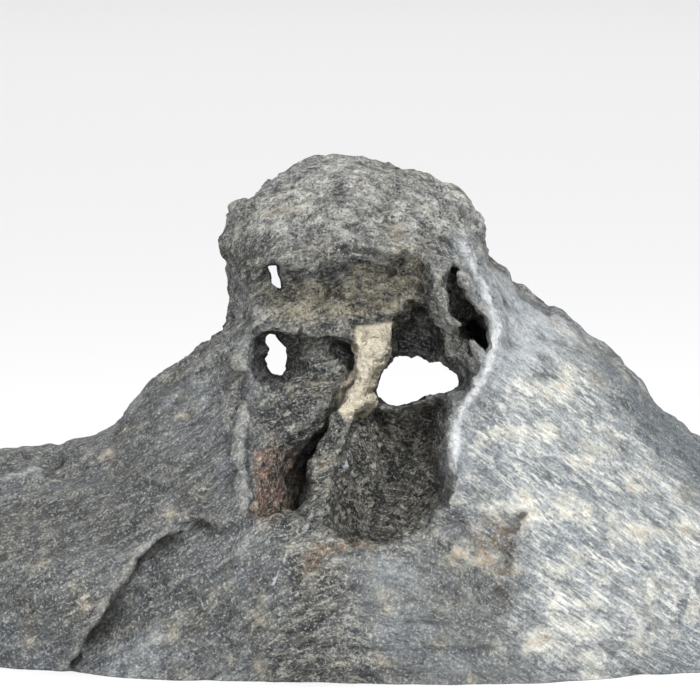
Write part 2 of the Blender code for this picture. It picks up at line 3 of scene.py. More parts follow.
import bmesh
import bpy
import numpy as np
import openvdb
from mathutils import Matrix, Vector


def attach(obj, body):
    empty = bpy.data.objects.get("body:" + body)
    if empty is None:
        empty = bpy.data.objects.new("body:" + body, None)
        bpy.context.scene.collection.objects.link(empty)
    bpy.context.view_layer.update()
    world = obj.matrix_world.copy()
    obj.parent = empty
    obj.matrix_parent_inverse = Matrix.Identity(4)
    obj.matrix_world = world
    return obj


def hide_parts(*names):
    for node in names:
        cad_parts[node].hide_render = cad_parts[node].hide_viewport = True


# A scholar's rock: a dark mountain-shaped stone with a crown block over a pierced grotto, on a pale studio
# floor. The stone is carved in millimetres by the same rule as the CAD source, on a finer grid and with
# more detail, then painted by zones and given one stone material. Its grotto faces -Y.

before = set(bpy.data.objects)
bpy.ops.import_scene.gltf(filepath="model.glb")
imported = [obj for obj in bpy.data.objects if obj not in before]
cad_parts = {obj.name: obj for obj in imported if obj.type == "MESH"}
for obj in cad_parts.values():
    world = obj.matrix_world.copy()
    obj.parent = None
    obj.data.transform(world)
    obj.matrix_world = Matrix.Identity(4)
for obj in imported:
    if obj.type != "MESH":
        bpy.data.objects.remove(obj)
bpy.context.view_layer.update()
print("stage: frame loaded")

millimetre = 0.001

# What a user would change on the stone's carving. Widths and sizes are in millimetres.
carvingLook = {
    "voxel": 0.9,  # grid step
    "triangles": 190000,  # what the finished stone keeps
    "skyRounding": 7.0,  # how far the edges between the skyline and the reliefs are rounded
    "skyGrowth": 1.2,  # what the skyline gains to make up for it
    "reliefRounding": 4.0,
    "calmEdge": 12.0,  # bumps wider than this fade out this near to the skyline
    "calmShare": 0.2,
    "warps": ((26, 0.7), (9, 0.7), (4.5, 0.4)),  # (width, size) of what bends the places before the carving
    "bumps": ((34, 1.8), (15, 1.0), (7, 0.6), (4, 0.35)),
    "creases": ((22, 2.0), (10, 1.0)),
    "creaseShare": 0.35,
    "ledges": {"spacing": 8.0, "size": 0.8, "brow": 0.8, "mean": 0.25,  # they run along the skyline
               "wander": (40, 5.0), "gaps": 30},
    "fineBumps": ((5, 0.5), (2.8, 0.4)),  # these and the rest are only here, finer than the CAD source
    "fineRidges": ((12, 2.0), (6.5, 1.5), (3.4, 0.9)),
    "cracks": ((16, 2.0), (8, 1.2)),
    "crackShare": 0.22,
    "leaves": ((26, 26, 2.6), 0.35),  # thin leaves of the stone: bump widths along X, Y, Z, and size
    "skyCalm": 0.75,  # how much of the fine roughness is lost right at the skyline
    "openingGrowth": 0.3,  # how much wider the openings are cut again once their rims are rough
    "wornEdge": 12.0,  # over how much of the stone a worn slope turns rough again
}
seeds = {"warp": 100, "bump": 200, "crease": 300, "ledge": 400, "fine": 500, "ridge": 510, "crack": 520,
         "leaf": 550}
gridLow = (-171.0, -98.0, -9.0)
gridHigh = (171.0, 78.0, 148.0)
mapStep = 0.75  # step of the flat maps that outlines and floors are read from
mapMargin = 16.0  # how far such a map reaches past its outline
windowMargin, downMargin, upMargin = 12.0, 20.0, 24.0  # how far the grid's windows reach past what they hold
reliefSlack = 8.0  # how far a relief may pass by its places to stay smooth
noiseSpread = 0.45  # what brings splined noise to about -1 to 1
ropeBlend = 3.0  # how far the lengths of a rib or a crack run into each other
fieldBand = 5.0  # how far from the skin the distances are kept
farAway = 1e3  # the distance of what is not there
middle = (-0.847, -11.675, 0.0)  # the middle of the carving, which stands over the origin of the CAD frame

# How the hollows are drawn: from this far away, aimed at this height, looking down by this many degrees.
viewDistance = 1300.0
viewHeight = 84.0
viewTilt = 8.0


# The skyline as (x, z), and the places (x, y, z) that the front and the back of the stone pass by.
skyline = [
    (-160, -60), (-165, 6), (-163, 22), (-154, 38), (-141, 47), (-128, 53), (-114, 56), (-105, 54.5),
    (-103, 55.5), (-91, 55.5), (-89, 54), (-84.5, 56), (-78, 57), (-75, 59.5), (-69, 65.5), (-63, 70),
    (-57, 75.5), (-50.5, 79.5), (-48, 82), (-45, 84), (-42.5, 85), (-38, 88.5), (-36, 92.5), (-35.5, 99),
    (-35.5, 110), (-38, 112), (-39, 115), (-38.5, 118), (-36.5, 124), (-37, 126), (-36, 129), (-33, 131),
    (-29.5, 130.5), (-27, 132.5), (-21.5, 135.5), (-18, 136.5), (-15, 140), (-12, 141.5), (-9, 142.3),
    (-4.5, 142.3), (0, 141.5), (4.5, 140), (15, 138), (19.5, 136.5), (28.5, 133.5), (33, 132.5),
    (36, 130.5), (38, 129), (39, 126), (41, 122), (40.5, 118.5), (42, 114), (42.5, 110.5), (47.5, 107.5),
    (49, 103.5), (54, 99.5), (55.5, 98), (57.5, 97), (60, 94), (61.5, 95), (64.5, 94), (69, 90.5),
    (75, 85.5), (76.5, 83.5), (81, 79.5), (85.5, 75.5), (90, 69.5), (94, 65), (99.5, 60), (105.5, 55.5),
    (116, 44), (128, 34), (141, 27), (152, 19), (161, 9), (165, -1), (163, -60),
]

front = [
    # crown and its brow
    (-6, -11, 143), (-26, -12, 133), (23.5, -12, 136), (37, -10, 131), (0, -26, 132), (-15, -27, 128),
    (14.5, -30, 128), (29, -24, 127), (-26, -34, 114.5), (-14.5, -40, 116), (-3, -43, 117.5),
    (8.5, -43, 119), (19, -41, 119), (27.5, -35, 120), (-36, -12, 118.5), (-34, -14, 108), (-33, -18, 99),
    (37, -16, 122), (39.5, -18, 113),
    # brim of the grotto, right and left
    (35, -41, 114), (39, -48, 105.5), (41.5, -52, 98.5), (40, -55, 91.5), (36, -58, 83.5), (32, -59, 78),
    (30, -63, 69.5), (28.5, -69, 62), (25.5, -77, 52), (-29, -38, 92.5), (-30, -44, 81.5),
    (-30.5, -53, 71), (-30.5, -61, 60.5), (-28.5, -69, 50.5), (-25, -78, 43.5), (0, -38, 100),
    (0, -48, 80), (0, -62, 60),
    # right slope
    (47.5, -14, 107), (57, -16, 97.5), (66, -16, 93), (55.5, -34, 91.5), (61, -46, 81.5),
    (72.5, -50, 70.5), (49, -58, 77.5), (54, -67, 64.5), (71.5, -66, 56), (84.5, -42, 64),
    (96, -46, 52.5), (97.5, -68, 33), (73.5, -81, 35.5), (48, -80, 46.5), (36.5, -87, 36.5),
    (14, -89, 35.5), (118, -44, 34), (122, -60, 18), (145, -36, 18), (158, -20, 8),
    # left slope
    (-44.5, -11, 84), (-59.5, -11, 73), (-42.5, -34, 74), (-34.5, -42, 78), (-58.5, -34, 61),
    (-74, -24, 52.5), (-89.5, -14, 50), (-100, -16, 49), (-96.5, -40, 41), (-72.5, -54, 42),
    (-49, -61, 49), (-83.5, -65, 30), (-57, -73, 33.5), (-41.5, -72, 39), (-32.5, -77, 34.5),
    (-18.5, -86, 36.5), (-3, -89, 37.5), (-125, -16, 48), (-124, -38, 34), (-128, -50, 18),
    (-152, -26, 24), (-160, -18, 8),
    # foot
    (0, -88, 10), (40, -86, 12), (80, -78, 12), (110, -66, 8), (-45, -80, 12), (-85, -70, 12),
    (-110, -58, 10), (0, -80, -6), (80, -72, -6), (-85, -64, -6),
]

back = [
    (-6, 10, 143), (-30, 11, 131), (30, 11, 133), (0, 28, 130), (-20, 30, 122), (20, 33, 120),
    (0, 38, 112), (-36, 14, 108), (41, 16, 108), (0, 36, 98), (-24, 30, 96), (28, 32, 96), (-46, 11, 84),
    (-44, 30, 72), (52, 12, 102), (62, 12, 95), (56, 30, 84), (0, 34, 78), (-20, 40, 66), (26, 42, 66),
    (0, 52, 52), (-70, 14, 60), (-68, 38, 46), (-100, 14, 50), (-104, 34, 38), (-130, 12, 46),
    (-138, 26, 28), (-158, 14, 12), (82, 16, 72), (80, 40, 54), (104, 18, 50), (108, 38, 34),
    (134, 14, 28), (140, 28, 16), (158, 10, 8), (0, 66, 26), (-50, 60, 22), (50, 64, 24), (-90, 50, 16),
    (96, 52, 18), (-124, 38, 12), (128, 38, 10), (0, 68, 6), (-50, 62, 4), (52, 68, 6), (0, 60, -8),
    (-90, 48, -6), (96, 50, -6),
]

# The hollows, drawn in the front view: the outline, places on the floor, and how round the floor's edge is.
grotto = {
    "grotto": (
        [(-29.5, 99), (-28, 109), (-24, 110.5), (-15, 111.5), (-3, 113.5), (6.5, 115), (15, 116),
         (21, 114.5), (24, 102), (27, 95.5), (32.5, 90), (39, 78.5), (36, 71.5), (31.5, 67.5), (28.5, 63),
         (26.5, 58.5), (25.5, 52.5), (27.5, 42), (24, 37.5), (19.5, 30.5), (15, 27.5), (6, 25.5),
         (-1.5, 26), (-5, 27.5), (-9.5, 30.5), (-15, 35), (-23.5, 32.5), (-29.5, 36), (-29, 48),
         (-30, 63), (-29.5, 75), (-29, 87)],
        [(-24, -24, 109), (0, -25, 111), (20, -28, 113), (-26, -26, 100), (0, -26, 101), (20, -29, 102),
         (-27, -31, 93), (0, -33, 92), (14, -33, 93), (8, -33, 85), (3, -36, 75), (0, -39, 67),
         (-20, -31, 73), (-22, -36, 64), (-1, -47, 58), (-6, -57, 48), (-10, -66, 39), (-12, -74, 31),
         (-24, -42, 60), (-28, -60, 45), (20, -45, 58), (26, -60, 48), (20, -75, 34), (27, -36, 96),
         (31, -38, 89), (36, -44, 80), (5, -84, 28)],
        3),
}

caves = {
    "leftCave": (
        [(-27.5, 87.5), (-24, 89.5), (-20, 87.5), (-15, 86), (-9.5, 85), (-5.5, 85), (-5, 81), (-5.5, 77),
         (-10, 75.5), (-15, 75.5), (-19, 74.5), (-23.5, 74), (-26.5, 75.5), (-28, 80.5)],
        [(-28, -15, 84), (-22, -13, 88), (-20, -13, 80), (-12, -24, 82), (-5, -26, 80), (-10, -27, 76),
         (-24, -16, 75), (-28, -18, 78)], 4),
    "windowRecess": (
        [(16, 92.5), (18.5, 93.5), (19, 97.5), (22, 98), (24, 93.5), (26, 90), (27.5, 85.5), (29, 82),
         (32.5, 80), (35, 77), (35.5, 74), (33.5, 72.5), (29, 71), (24.5, 70), (22, 68.5), (18, 67),
         (14, 66.5), (11, 67), (8, 68.5), (6.5, 71), (8, 75), (11, 79.5), (14, 84.5)],
        [(20, -8, 97), (26, -10, 88), (20, -7, 84), (32, -20, 79), (35, -24, 73), (10, -7, 70),
         (25, -7, 72)], 4),
    "bowl": (
        [(8.5, 67.5), (15, 66.5), (24, 69), (29, 69.5), (28.5, 65), (27.5, 61.5), (26.5, 58),
         (25.5, 53.5), (26, 49), (27.5, 44.5), (27.5, 41.5), (26, 38.5), (24, 37.5), (22, 34),
         (19.5, 30.5), (16, 29), (15, 27.5), (10.5, 26.5), (6, 25.5), (-1.5, 26), (-4, 27.5), (-6, 31),
         (-6, 36.5), (-4, 42.5), (-1.5, 49), (1, 57), (3.5, 63.5)],
        [(10, -14, 66), (27, -16, 66), (25, -22, 54), (12, -20, 54), (4, -32, 58), (1, -43, 50),
         (-2, -52, 42), (-4, -60, 34), (14, -26, 42), (22, -38, 38), (2, -44, 30), (16, -44, 30)], 5),
    "pocket": (
        [(-28.5, 57), (-29, 45), (-28, 39), (-29.5, 36), (-26.5, 33), (-23.5, 32.5), (-19.5, 36.5),
         (-16, 35.5), (-15, 39), (-14, 45), (-13, 50.5), (-11.5, 54), (-11, 59), (-15, 61), (-24.5, 61),
         (-27.5, 60)],
        [(-26, -46, 60), (-15, -40, 60), (-27, -54, 50), (-15, -28, 50), (-27, -60, 40), (-16, -32, 38),
         (-22, -50, 36)], 3),
    "slit": (
        [(-2, 74.5), (-3.5, 70.5), (-5.5, 67), (-7.5, 62.5), (-8.5, 58.5), (-9, 55), (-10, 53.5),
         (-12.5, 51.5), (-13.5, 48.5), (-14, 44.5), (-15.5, 39.5), (-16, 35.5), (-18.5, 35.5), (-19, 39),
         (-18.5, 44), (-17, 48), (-15, 52), (-13, 56.5), (-11, 60.5), (-9, 65), (-6.5, 68.5),
         (-4.5, 72.5), (-3.5, 74.5)],
        [(-3, -34, 74), (-6, -34, 67), (-10, -31, 60), (-12, -20, 54), (-17, -22, 46), (-19, -24, 38)],
         1.5),
    "sideHollow": (
        [(28, 104.5), (29.5, 109.5), (32.5, 109.5), (34, 104.5), (35.5, 99.5), (38.5, 95), (41, 91),
         (42.5, 85.5), (41.5, 81), (40, 79), (38.5, 83.5), (37, 86.5), (34, 89), (32.5, 92), (29.5, 94),
         (28, 98.5)],
        [(29, -36, 106), (33, -22, 106), (31, -33, 98), (36, -21, 96), (36, -26, 88), (41, -18, 86),
         (39, -20, 82)], 3),
    "sideDepth": (
        [(35, 92), (37.5, 93), (40, 89.5), (41.5, 84), (40, 81), (38, 85.5)],
        [(36, 0, 92), (39, 2, 86), (38, 0, 82)], 2),
    "dimple": (
        [(-4.5, 84), (-3.5, 85), (-1.5, 85), (-0.5, 83.5), (0, 80.5), (-1, 78.5), (-2.5, 77.5),
         (-4, 78.5), (-4.5, 80.5)],
        [(-5, -20, 85), (0, -15, 84), (-3, -24, 78)], 2),
}

# The openings that run right through the stone, drawn in the same way.
openings = {
    "window": (
        [(7.5, 72), (8.5, 75), (10.5, 78.5), (12.5, 81), (16, 82), (18.5, 81.5), (22.5, 81.5), (24.5, 80),
         (27, 80.5), (29.5, 79), (31, 77.5), (33, 76), (33.5, 74.5), (32.5, 72.5), (28.5, 71.5),
         (24.5, 70.5), (22, 69), (18, 68), (14, 67), (11.5, 68), (8.5, 69)],
        [(0, 60, 60), (30, 60, 60), (20, 60, 90)], 2),
    "leftOpening": (
        [(-25, 89), (-22.5, 88.5), (-21, 86), (-20, 84.5), (-20, 79), (-20, 76.5), (-21.5, 75.5),
         (-24, 76.5), (-25, 78.5), (-25.5, 81.5), (-24.5, 84), (-25.5, 86.5)],
        [(-30, 60, 70), (-10, 60, 70), (-20, 60, 90)], 2),
    "upperOpening": (
        [(-25.5, 109.5), (-22, 109.5), (-21.5, 107), (-21, 105), (-20.5, 102), (-22, 102), (-24, 104.5),
         (-24, 107)],
        [(-30, 60, 100), (-10, 60, 100), (-20, 60, 120)], 2),
}

# The hollows in the back: the middle, the half sizes, and how square they are.
rearHollows = {
    "rearWindow": ((20, 38, 70), (21, 36, 14), 2.2),
    "rearLeft": ((-24, 32, 80), (11, 33, 13), 2.2),
    "rearUpper": ((-25, 28, 105), (9, 33, 9), 2.2),
}

# Ribs that are laid on the walls and cracks that are cut in, as lines of (x, y, z, radius).
ribs = {
    "shelf": [(-26, -30, 70, 4), (-20, -30, 71, 6), (-12, -29, 73, 5), (-6, -28, 75, 3)],
    "ribHead": [(0, -42, 66, 4), (-2, -46, 61, 5.5), (-6, -52, 53, 5), (-9, -60, 44, 3.5)],
    "partition": [(25, -33, 102, 3.5), (28, -33, 94, 4.5), (32, -32, 87, 4.5), (35, -34, 80, 3)],
    "sliver": [(34, -34, 87, 1.8), (37, -38, 82, 2), (40, -44, 78, 2)],
    "leftRidge": [(-29, -29, 93.5, 3), (-31, -36, 86, 4), (-31, -46, 76, 4.5), (-31.5, -55, 66, 4),
                   (-31, -62, 55.5, 4), (-29.5, -71, 48, 2.5)],
    "brow": [(-25, -31, 113, 3), (-14.5, -37, 115.5, 3.5), (-3, -39, 118, 3.5), (8.5, -39, 119, 3.5),
             (17, -37, 119.5, 3)],
    "pillar": [(9.5, -31, 95, 4.5), (5.5, -32, 86, 4.2), (2.5, -35, 74, 4.5), (0.5, -38, 69, 4.5)],
    "alcoveColumn": [(18, -31, 114, 3), (18, -29, 107, 4), (17, -32, 98, 4)],
    "alcoveLimb": [(25, -36, 117, 3), (26, -36, 108, 4), (26, -34, 101, 4)],
}

furrows = {
    "browCrack": [(-26, -34, 118.5, 0.8), (-14.5, -40, 121, 1.2), (-3, -42, 122.5, 1.2),
                   (12, -41, 123.5, 0.6)],
    "wallCrack": [(-26, -31, 96, 0.7), (-15, -32, 95, 1), (0, -33, 95, 1.2), (14, -33, 95.5, 1)],
    "frontCrevice": [(-9, -86, 41, 1.2), (-11.5, -88, 38, 1.8), (-16, -90, 31, 1.6), (-20, -90, 22, 1)],
    "shoulderNotch": [(-88.5, 0, 55.5, 1.4), (-89, -9.5, 52, 1.4), (-90, -14, 49, 1)],
    "plateCrack": [(-96, -45, 39, 0.8), (-89, -45, 40, 1.1), (-84.5, -45, 41, 1), (-79, -42, 44, 0.7)],
}

# Steps in the slopes, drawn as the hollows are.
steps = {
    "fold": (
        [(-84, -14), (-78, -2), (-69.5, 8), (-60, 20.5), (-51.5, 27.5), (-45.5, 33), (-36.5, 32.5),
         (-33, 30), (-37, 25), (-42, 15), (-46, 2), (-48, -14)],
        [(-78, -62, -4), (-60, -66, 20), (-48, -63, 30), (-38, -67, 32), (-39, -79, 25), (-47, -84, 8)], 6),
    "pit": (
        [(-51, 68), (-46, 73), (-45, 75.5), (-38, 76.5), (-31, 76), (-31, 74), (-33, 71.5), (-38.5, 70),
         (-42, 68.5), (-45, 69), (-48, 67)],
        [(-46, -19, 75), (-38, -30.5, 76), (-32, -38.5, 76), (-49, -25, 68), (-38, -38, 70),
         (-33, -43, 71)], 3),
    "rightStep": (
        [(36, 30), (38, 33), (45, 33.5), (52, 34.5), (49, 29), (47.5, 25.5), (46, 14), (45, 0), (39, 0),
         (38, 12), (39, 21), (36.5, 26)],
        [(38, -80, 31), (50, -76.5, 32.5), (45, -84, 20), (42, -87, 8)], 4),
}


# Where the slopes are worn smooth, drawn as the hollows are, and the roughness left there.
wornZones = {
    "rightSlope": ([(40, 112), (50, 108), (70, 95), (112, 55), (180, 0), (180, -40), (20, -40), (-6, 24),
                    (16, 25.5), (27, 36), (33, 62), (41, 75), (46, 92)], 0.42),
    "leftSlope": ([(-180, 60), (-110, 62), (-60, 80), (-42, 80), (-34, 60), (-32, 32), (-14, 24),
                   (-30, -40), (-180, -40)], 0.55),
    "leftJamb": ([(-33, 88), (-27, 90), (-27, 60), (-29, 35), (-34, 38), (-34, 70)], 0.5),
}

# The colour zones, drawn in the same way: outline, how softly it ends, and the y that it stays in front of.
paintZones = {
    "crownTop": ([(-36, 127), (-27, 133), (-15, 142), (0, 142), (27, 135), (40, 128), (42, 118.5),
                  (27, 118.5), (9, 117.5), (-15, 117), (-30, 118.5), (-36, 118.5)], 8, 60),
    "warmAlcove": ([(-26.5, 103.5), (-15, 102), (15, 114), (22.5, 114), (22, 99), (16.5, 94.5),
                    (-15, 93.5), (-27, 95.5)], 6, -5),
    "blueRidge": ([(-33, 88.5), (-26.5, 90), (-27.5, 78), (-26.5, 63), (-29.5, 48), (-29.5, 35.5),
                   (-34.5, 39), (-33, 60), (-32, 75)], 4, -20),
    "paleSlope": ([(37.5, 73.5), (51, 84), (63, 90), (75, 83.5), (87, 70.5), (112, 47), (170, 0),
                   (170, -20), (58, -20), (52, 8), (50, 26), (40, 38), (32, 44), (31.5, 60)], 34, 25),
    "darkShoulder": ([(-110, 50), (-60, 66), (-40, 60), (-34, 30), (-60, 8), (-110, -10), (-150, 0),
                      (-150, 40)], 26, 20),
    "paleFoot": ([(-6, 25.5), (24, 25.5), (40, 20), (56, -20), (-30, -20), (-6, 6)], 16, -40),
    "hazeSlope": ([(40.5, 110.5), (48, 106.5), (63, 93), (63, 85.5), (51, 77.5), (42, 73.5),
                   (44.5, 91.5)], 12, 4),
    "duskRight": ([(72, 88), (87, 75), (105, 57), (130, 36), (160, 12), (150, -5), (105, 39), (90, 52.5),
                   (78, 69)], 14, 40),
    # the bowl and the window recess are dark grey stone, painted darker still as painted shade in these
    # hollows
    "darkBowl": ([(8.5, 67.5), (33, 69), (28.5, 63), (26, 53.5), (27.5, 43.5), (24, 37.5), (19.5, 30.5),
                  (14.5, 27), (6, 25.5), (-3, 27), (-6.5, 33), (-4, 42.5), (0, 52.5), (3, 63)], 3, 30),
    "darkRecess": ([(16, 92.5), (19, 98), (24.5, 93.5), (29, 87), (36, 78), (33.5, 71.5), (31.5, 69),
                    (7.5, 66.5), (8.5, 77.5)], 3, 30),
    # the pillar's pale tan, painted brighter than its stone as painted light where the brow shades it
    "tanPillar": ([(2, 91), (16, 92.5), (14, 84), (10, 78.5), (8, 73.5), (8, 68.5), (6.5, 64), (-1.5, 63),
                   (-4, 66.5), (-3.5, 70.5), (-1.5, 76.5), (0.5, 84)], 1.6, -18),
    "tanCave": ([(-13.5, 76), (-3, 75.5), (-4, 70.5), (-12, 68.5)], 4, 0),
    "ironPocket": ([(-28.5, 54), (-29, 45), (-28, 39), (-29, 35.5), (-26.5, 32.5), (-22.5, 33),
                    (-18.5, 35.5), (-16, 37.5), (-14.5, 43.5), (-12.5, 49.5), (-15, 53.5),
                    (-21, 54.5)], 3, 0),
    "ironRib": ([(-11.5, 52.5), (-1.5, 50.5), (-1.5, 45), (-6, 40.5), (-8.5, 35.5), (-15, 33.5),
                 (-15.5, 39), (-14, 45)], 4, -30),
    "ironCrevice": ([(38, 32), (51, 33), (50, 24), (49, 8), (45, 6), (43, 18), (38, 26)], 9, -30),
    "ironFront": ([(-8.5, 27), (6.5, 26), (5.5, 23.5), (-6, 23.5), (-12.5, 16.5), (-16, 14),
                   (-15, 19.5)], 3, -40),
}

# The bedding follows the mountain: (x, z) of one bed, and the rest lie above and below it.
beddingLine = [(-165, 20), (-100, 56), (-45, 88), (-20, 108), (0, 114), (25, 108), (50, 90), (100, 52),
               (165, 0)]

# White calcite veins as lines in the front view.
veins = {
    "brimVein": [(33.5, 116), (36, 111.5), (39, 104.5), (41.5, 99), (44, 92.5), (43, 85.5), (41.5, 78.5),
                 (38, 72.5), (34, 67.5), (32, 61.5), (31.5, 54.5), (30.5, 48)],
    "ribVein": [(1.5, 59.5), (0.5, 55.5), (-1, 51), (-2.5, 48)],
    "footVein": [(-11.5, 34.5), (-13.5, 30), (-18, 24.5), (-20.5, 19.5), (-23.5, 14)],
    "leftVein": [(-105, 45), (-99, 47), (-91.5, 49), (-87, 47.5)],
}


def axisValues(axis):
    count = int(round((gridHigh[axis] - gridLow[axis]) / carvingLook["voxel"])) + 1
    return (gridLow[axis] + carvingLook["voxel"] * np.arange(count)).astype(np.float32)


def splineWeights(values, spacing):
    # cubic B-spline weights that read a lattice of the given spacing at the values, one row a value
    place = (values - values[0]) / spacing + 1
    cell = np.floor(place).astype(int)
    part = place - cell
    weights = np.zeros((len(values), cell.max() + 3), np.float32)
    rows = np.arange(len(values))
    weights[rows, cell - 1] = (1 - part) ** 3 / 6
    weights[rows, cell] = (3 * part**3 - 6 * part**2 + 4) / 6
    weights[rows, cell + 1] = (-3 * part**3 + 3 * part**2 + 3 * part + 1) / 6
    weights[rows, cell + 2] = part**3 / 6
    return weights


def smoothNoise(axes, spacing, seed):
    # smooth noise between about -1 and 1, with bumps about as wide as the spacing
    spacings = spacing if isinstance(spacing, tuple) else (spacing,) * 3
    wx, wy, wz = (splineWeights(a, s) for a, s in zip(axes, spacings))
    lattice = np.random.default_rng(seed).uniform(-1, 1, (wx.shape[1], wy.shape[1], wz.shape[1]))
    found = np.tensordot(wx, lattice.astype(np.float32), (1, 0))
    found = np.tensordot(found, wy, (1, 1))
    found = np.tensordot(found, wz, (1, 1))
    return found / noiseSpread


def relief(places, x, z):
    # a thin-plate surface y(x, z) through the places
    places = np.array(places, float)
    known = places[:, [0, 2]]

    def kernel(a, b):
        squared = ((a[:, None, :] - b[None, :, :]) ** 2).sum(-1)
        return 0.5 * squared * np.log(squared + 1e-9)

    count = len(known)
    flat = np.c_[np.ones(count), known]
    system = np.block([[kernel(known, known) + reliefSlack * np.eye(count), flat],
                       [flat.T, np.zeros((3, 3))]])
    solved = np.linalg.solve(system, np.r_[places[:, 1], np.zeros(3)])
    gx, gz = np.meshgrid(x, z, indexing="ij")
    asked = np.c_[gx.ravel(), gz.ravel()].astype(float)
    made = kernel(asked, known) @ solved[:count] + solved[count] + asked @ solved[count + 1:]
    return made.reshape(gx.shape).astype(np.float32)


def outlineDistance(outline, x, z, closed=True):
    # the distance from an outline in the flat, negative inside it if it is closed
    points = np.array(outline, float)
    gx, gz = np.meshgrid(x, z, indexing="ij")
    nearest = np.full(gx.shape, 1e9)
    inside = np.zeros(gx.shape, bool)
    after = np.roll(points, -1, axis=0)
    for (ax, az), (bx, bz) in zip(points if closed else points[:-1], after):
        ex, ez = bx - ax, bz - az
        t = np.clip(((gx - ax) * ex + (gz - az) * ez) / (ex * ex + ez * ez), 0, 1)
        nearest = np.minimum(nearest, np.hypot(gx - ax - t * ex, gz - az - t * ez))
        crosses = (az > gz) != (bz > gz)
        with np.errstate(divide="ignore", invalid="ignore"):
            inside ^= crosses & (gx < ax + (gz - az) * ex / np.where(ez == 0, 1e-9, ez))
    return np.where(inside & closed, -nearest, nearest).astype(np.float32)


def readMap(values, x, z, lowX, lowZ, step):
    # a flat map with the given step, read between its points
    i = np.clip((x - lowX) / step, 0, values.shape[0] - 1.001)
    k = np.clip((z - lowZ) / step, 0, values.shape[1] - 1.001)
    i0, k0 = i.astype(np.int32), k.astype(np.int32)
    a, b = i - i0, k - k0
    low = values[i0, k0] * (1 - b) + values[i0, k0 + 1] * b
    high = values[i0 + 1, k0] * (1 - b) + values[i0 + 1, k0 + 1] * b
    return low * (1 - a) + high * a


def seen(x, y, z):
    # where a place shows in the front view: across and up, in millimetres at the stone's middle
    tilt = math.radians(viewTilt)
    level = z - viewHeight
    scale = viewDistance / (viewDistance + y * math.cos(tilt) - level * math.sin(tilt))
    return x * scale, (level * math.cos(tilt) + y * math.sin(tilt)) * scale + viewHeight


def smoothMin(a, b, width):
    overlap = np.maximum(width - np.abs(a - b), 0) / width
    return np.minimum(a, b) - overlap * overlap * (width / 4)


def smoothMax(a, b, width):
    return -smoothMin(-a, -b, width)


def outlineMap(outline, margin=mapMargin, closed=True):
    # the distance map of an outline, its axes and where it starts
    low, high = np.min(outline, 0) - margin, np.max(outline, 0) + margin
    axes = [np.arange(lo, hi + mapStep, mapStep) for lo, hi in zip(low, high)]
    return outlineDistance(outline, *axes, closed), axes, low


def fromOutline(outline, across, up, margin=mapMargin, closed=True):
    # how far each place of the front view is from an outline
    walls, _, low = outlineMap(outline, margin, closed)
    return readMap(walls, across, up, low[0], low[1], mapStep)


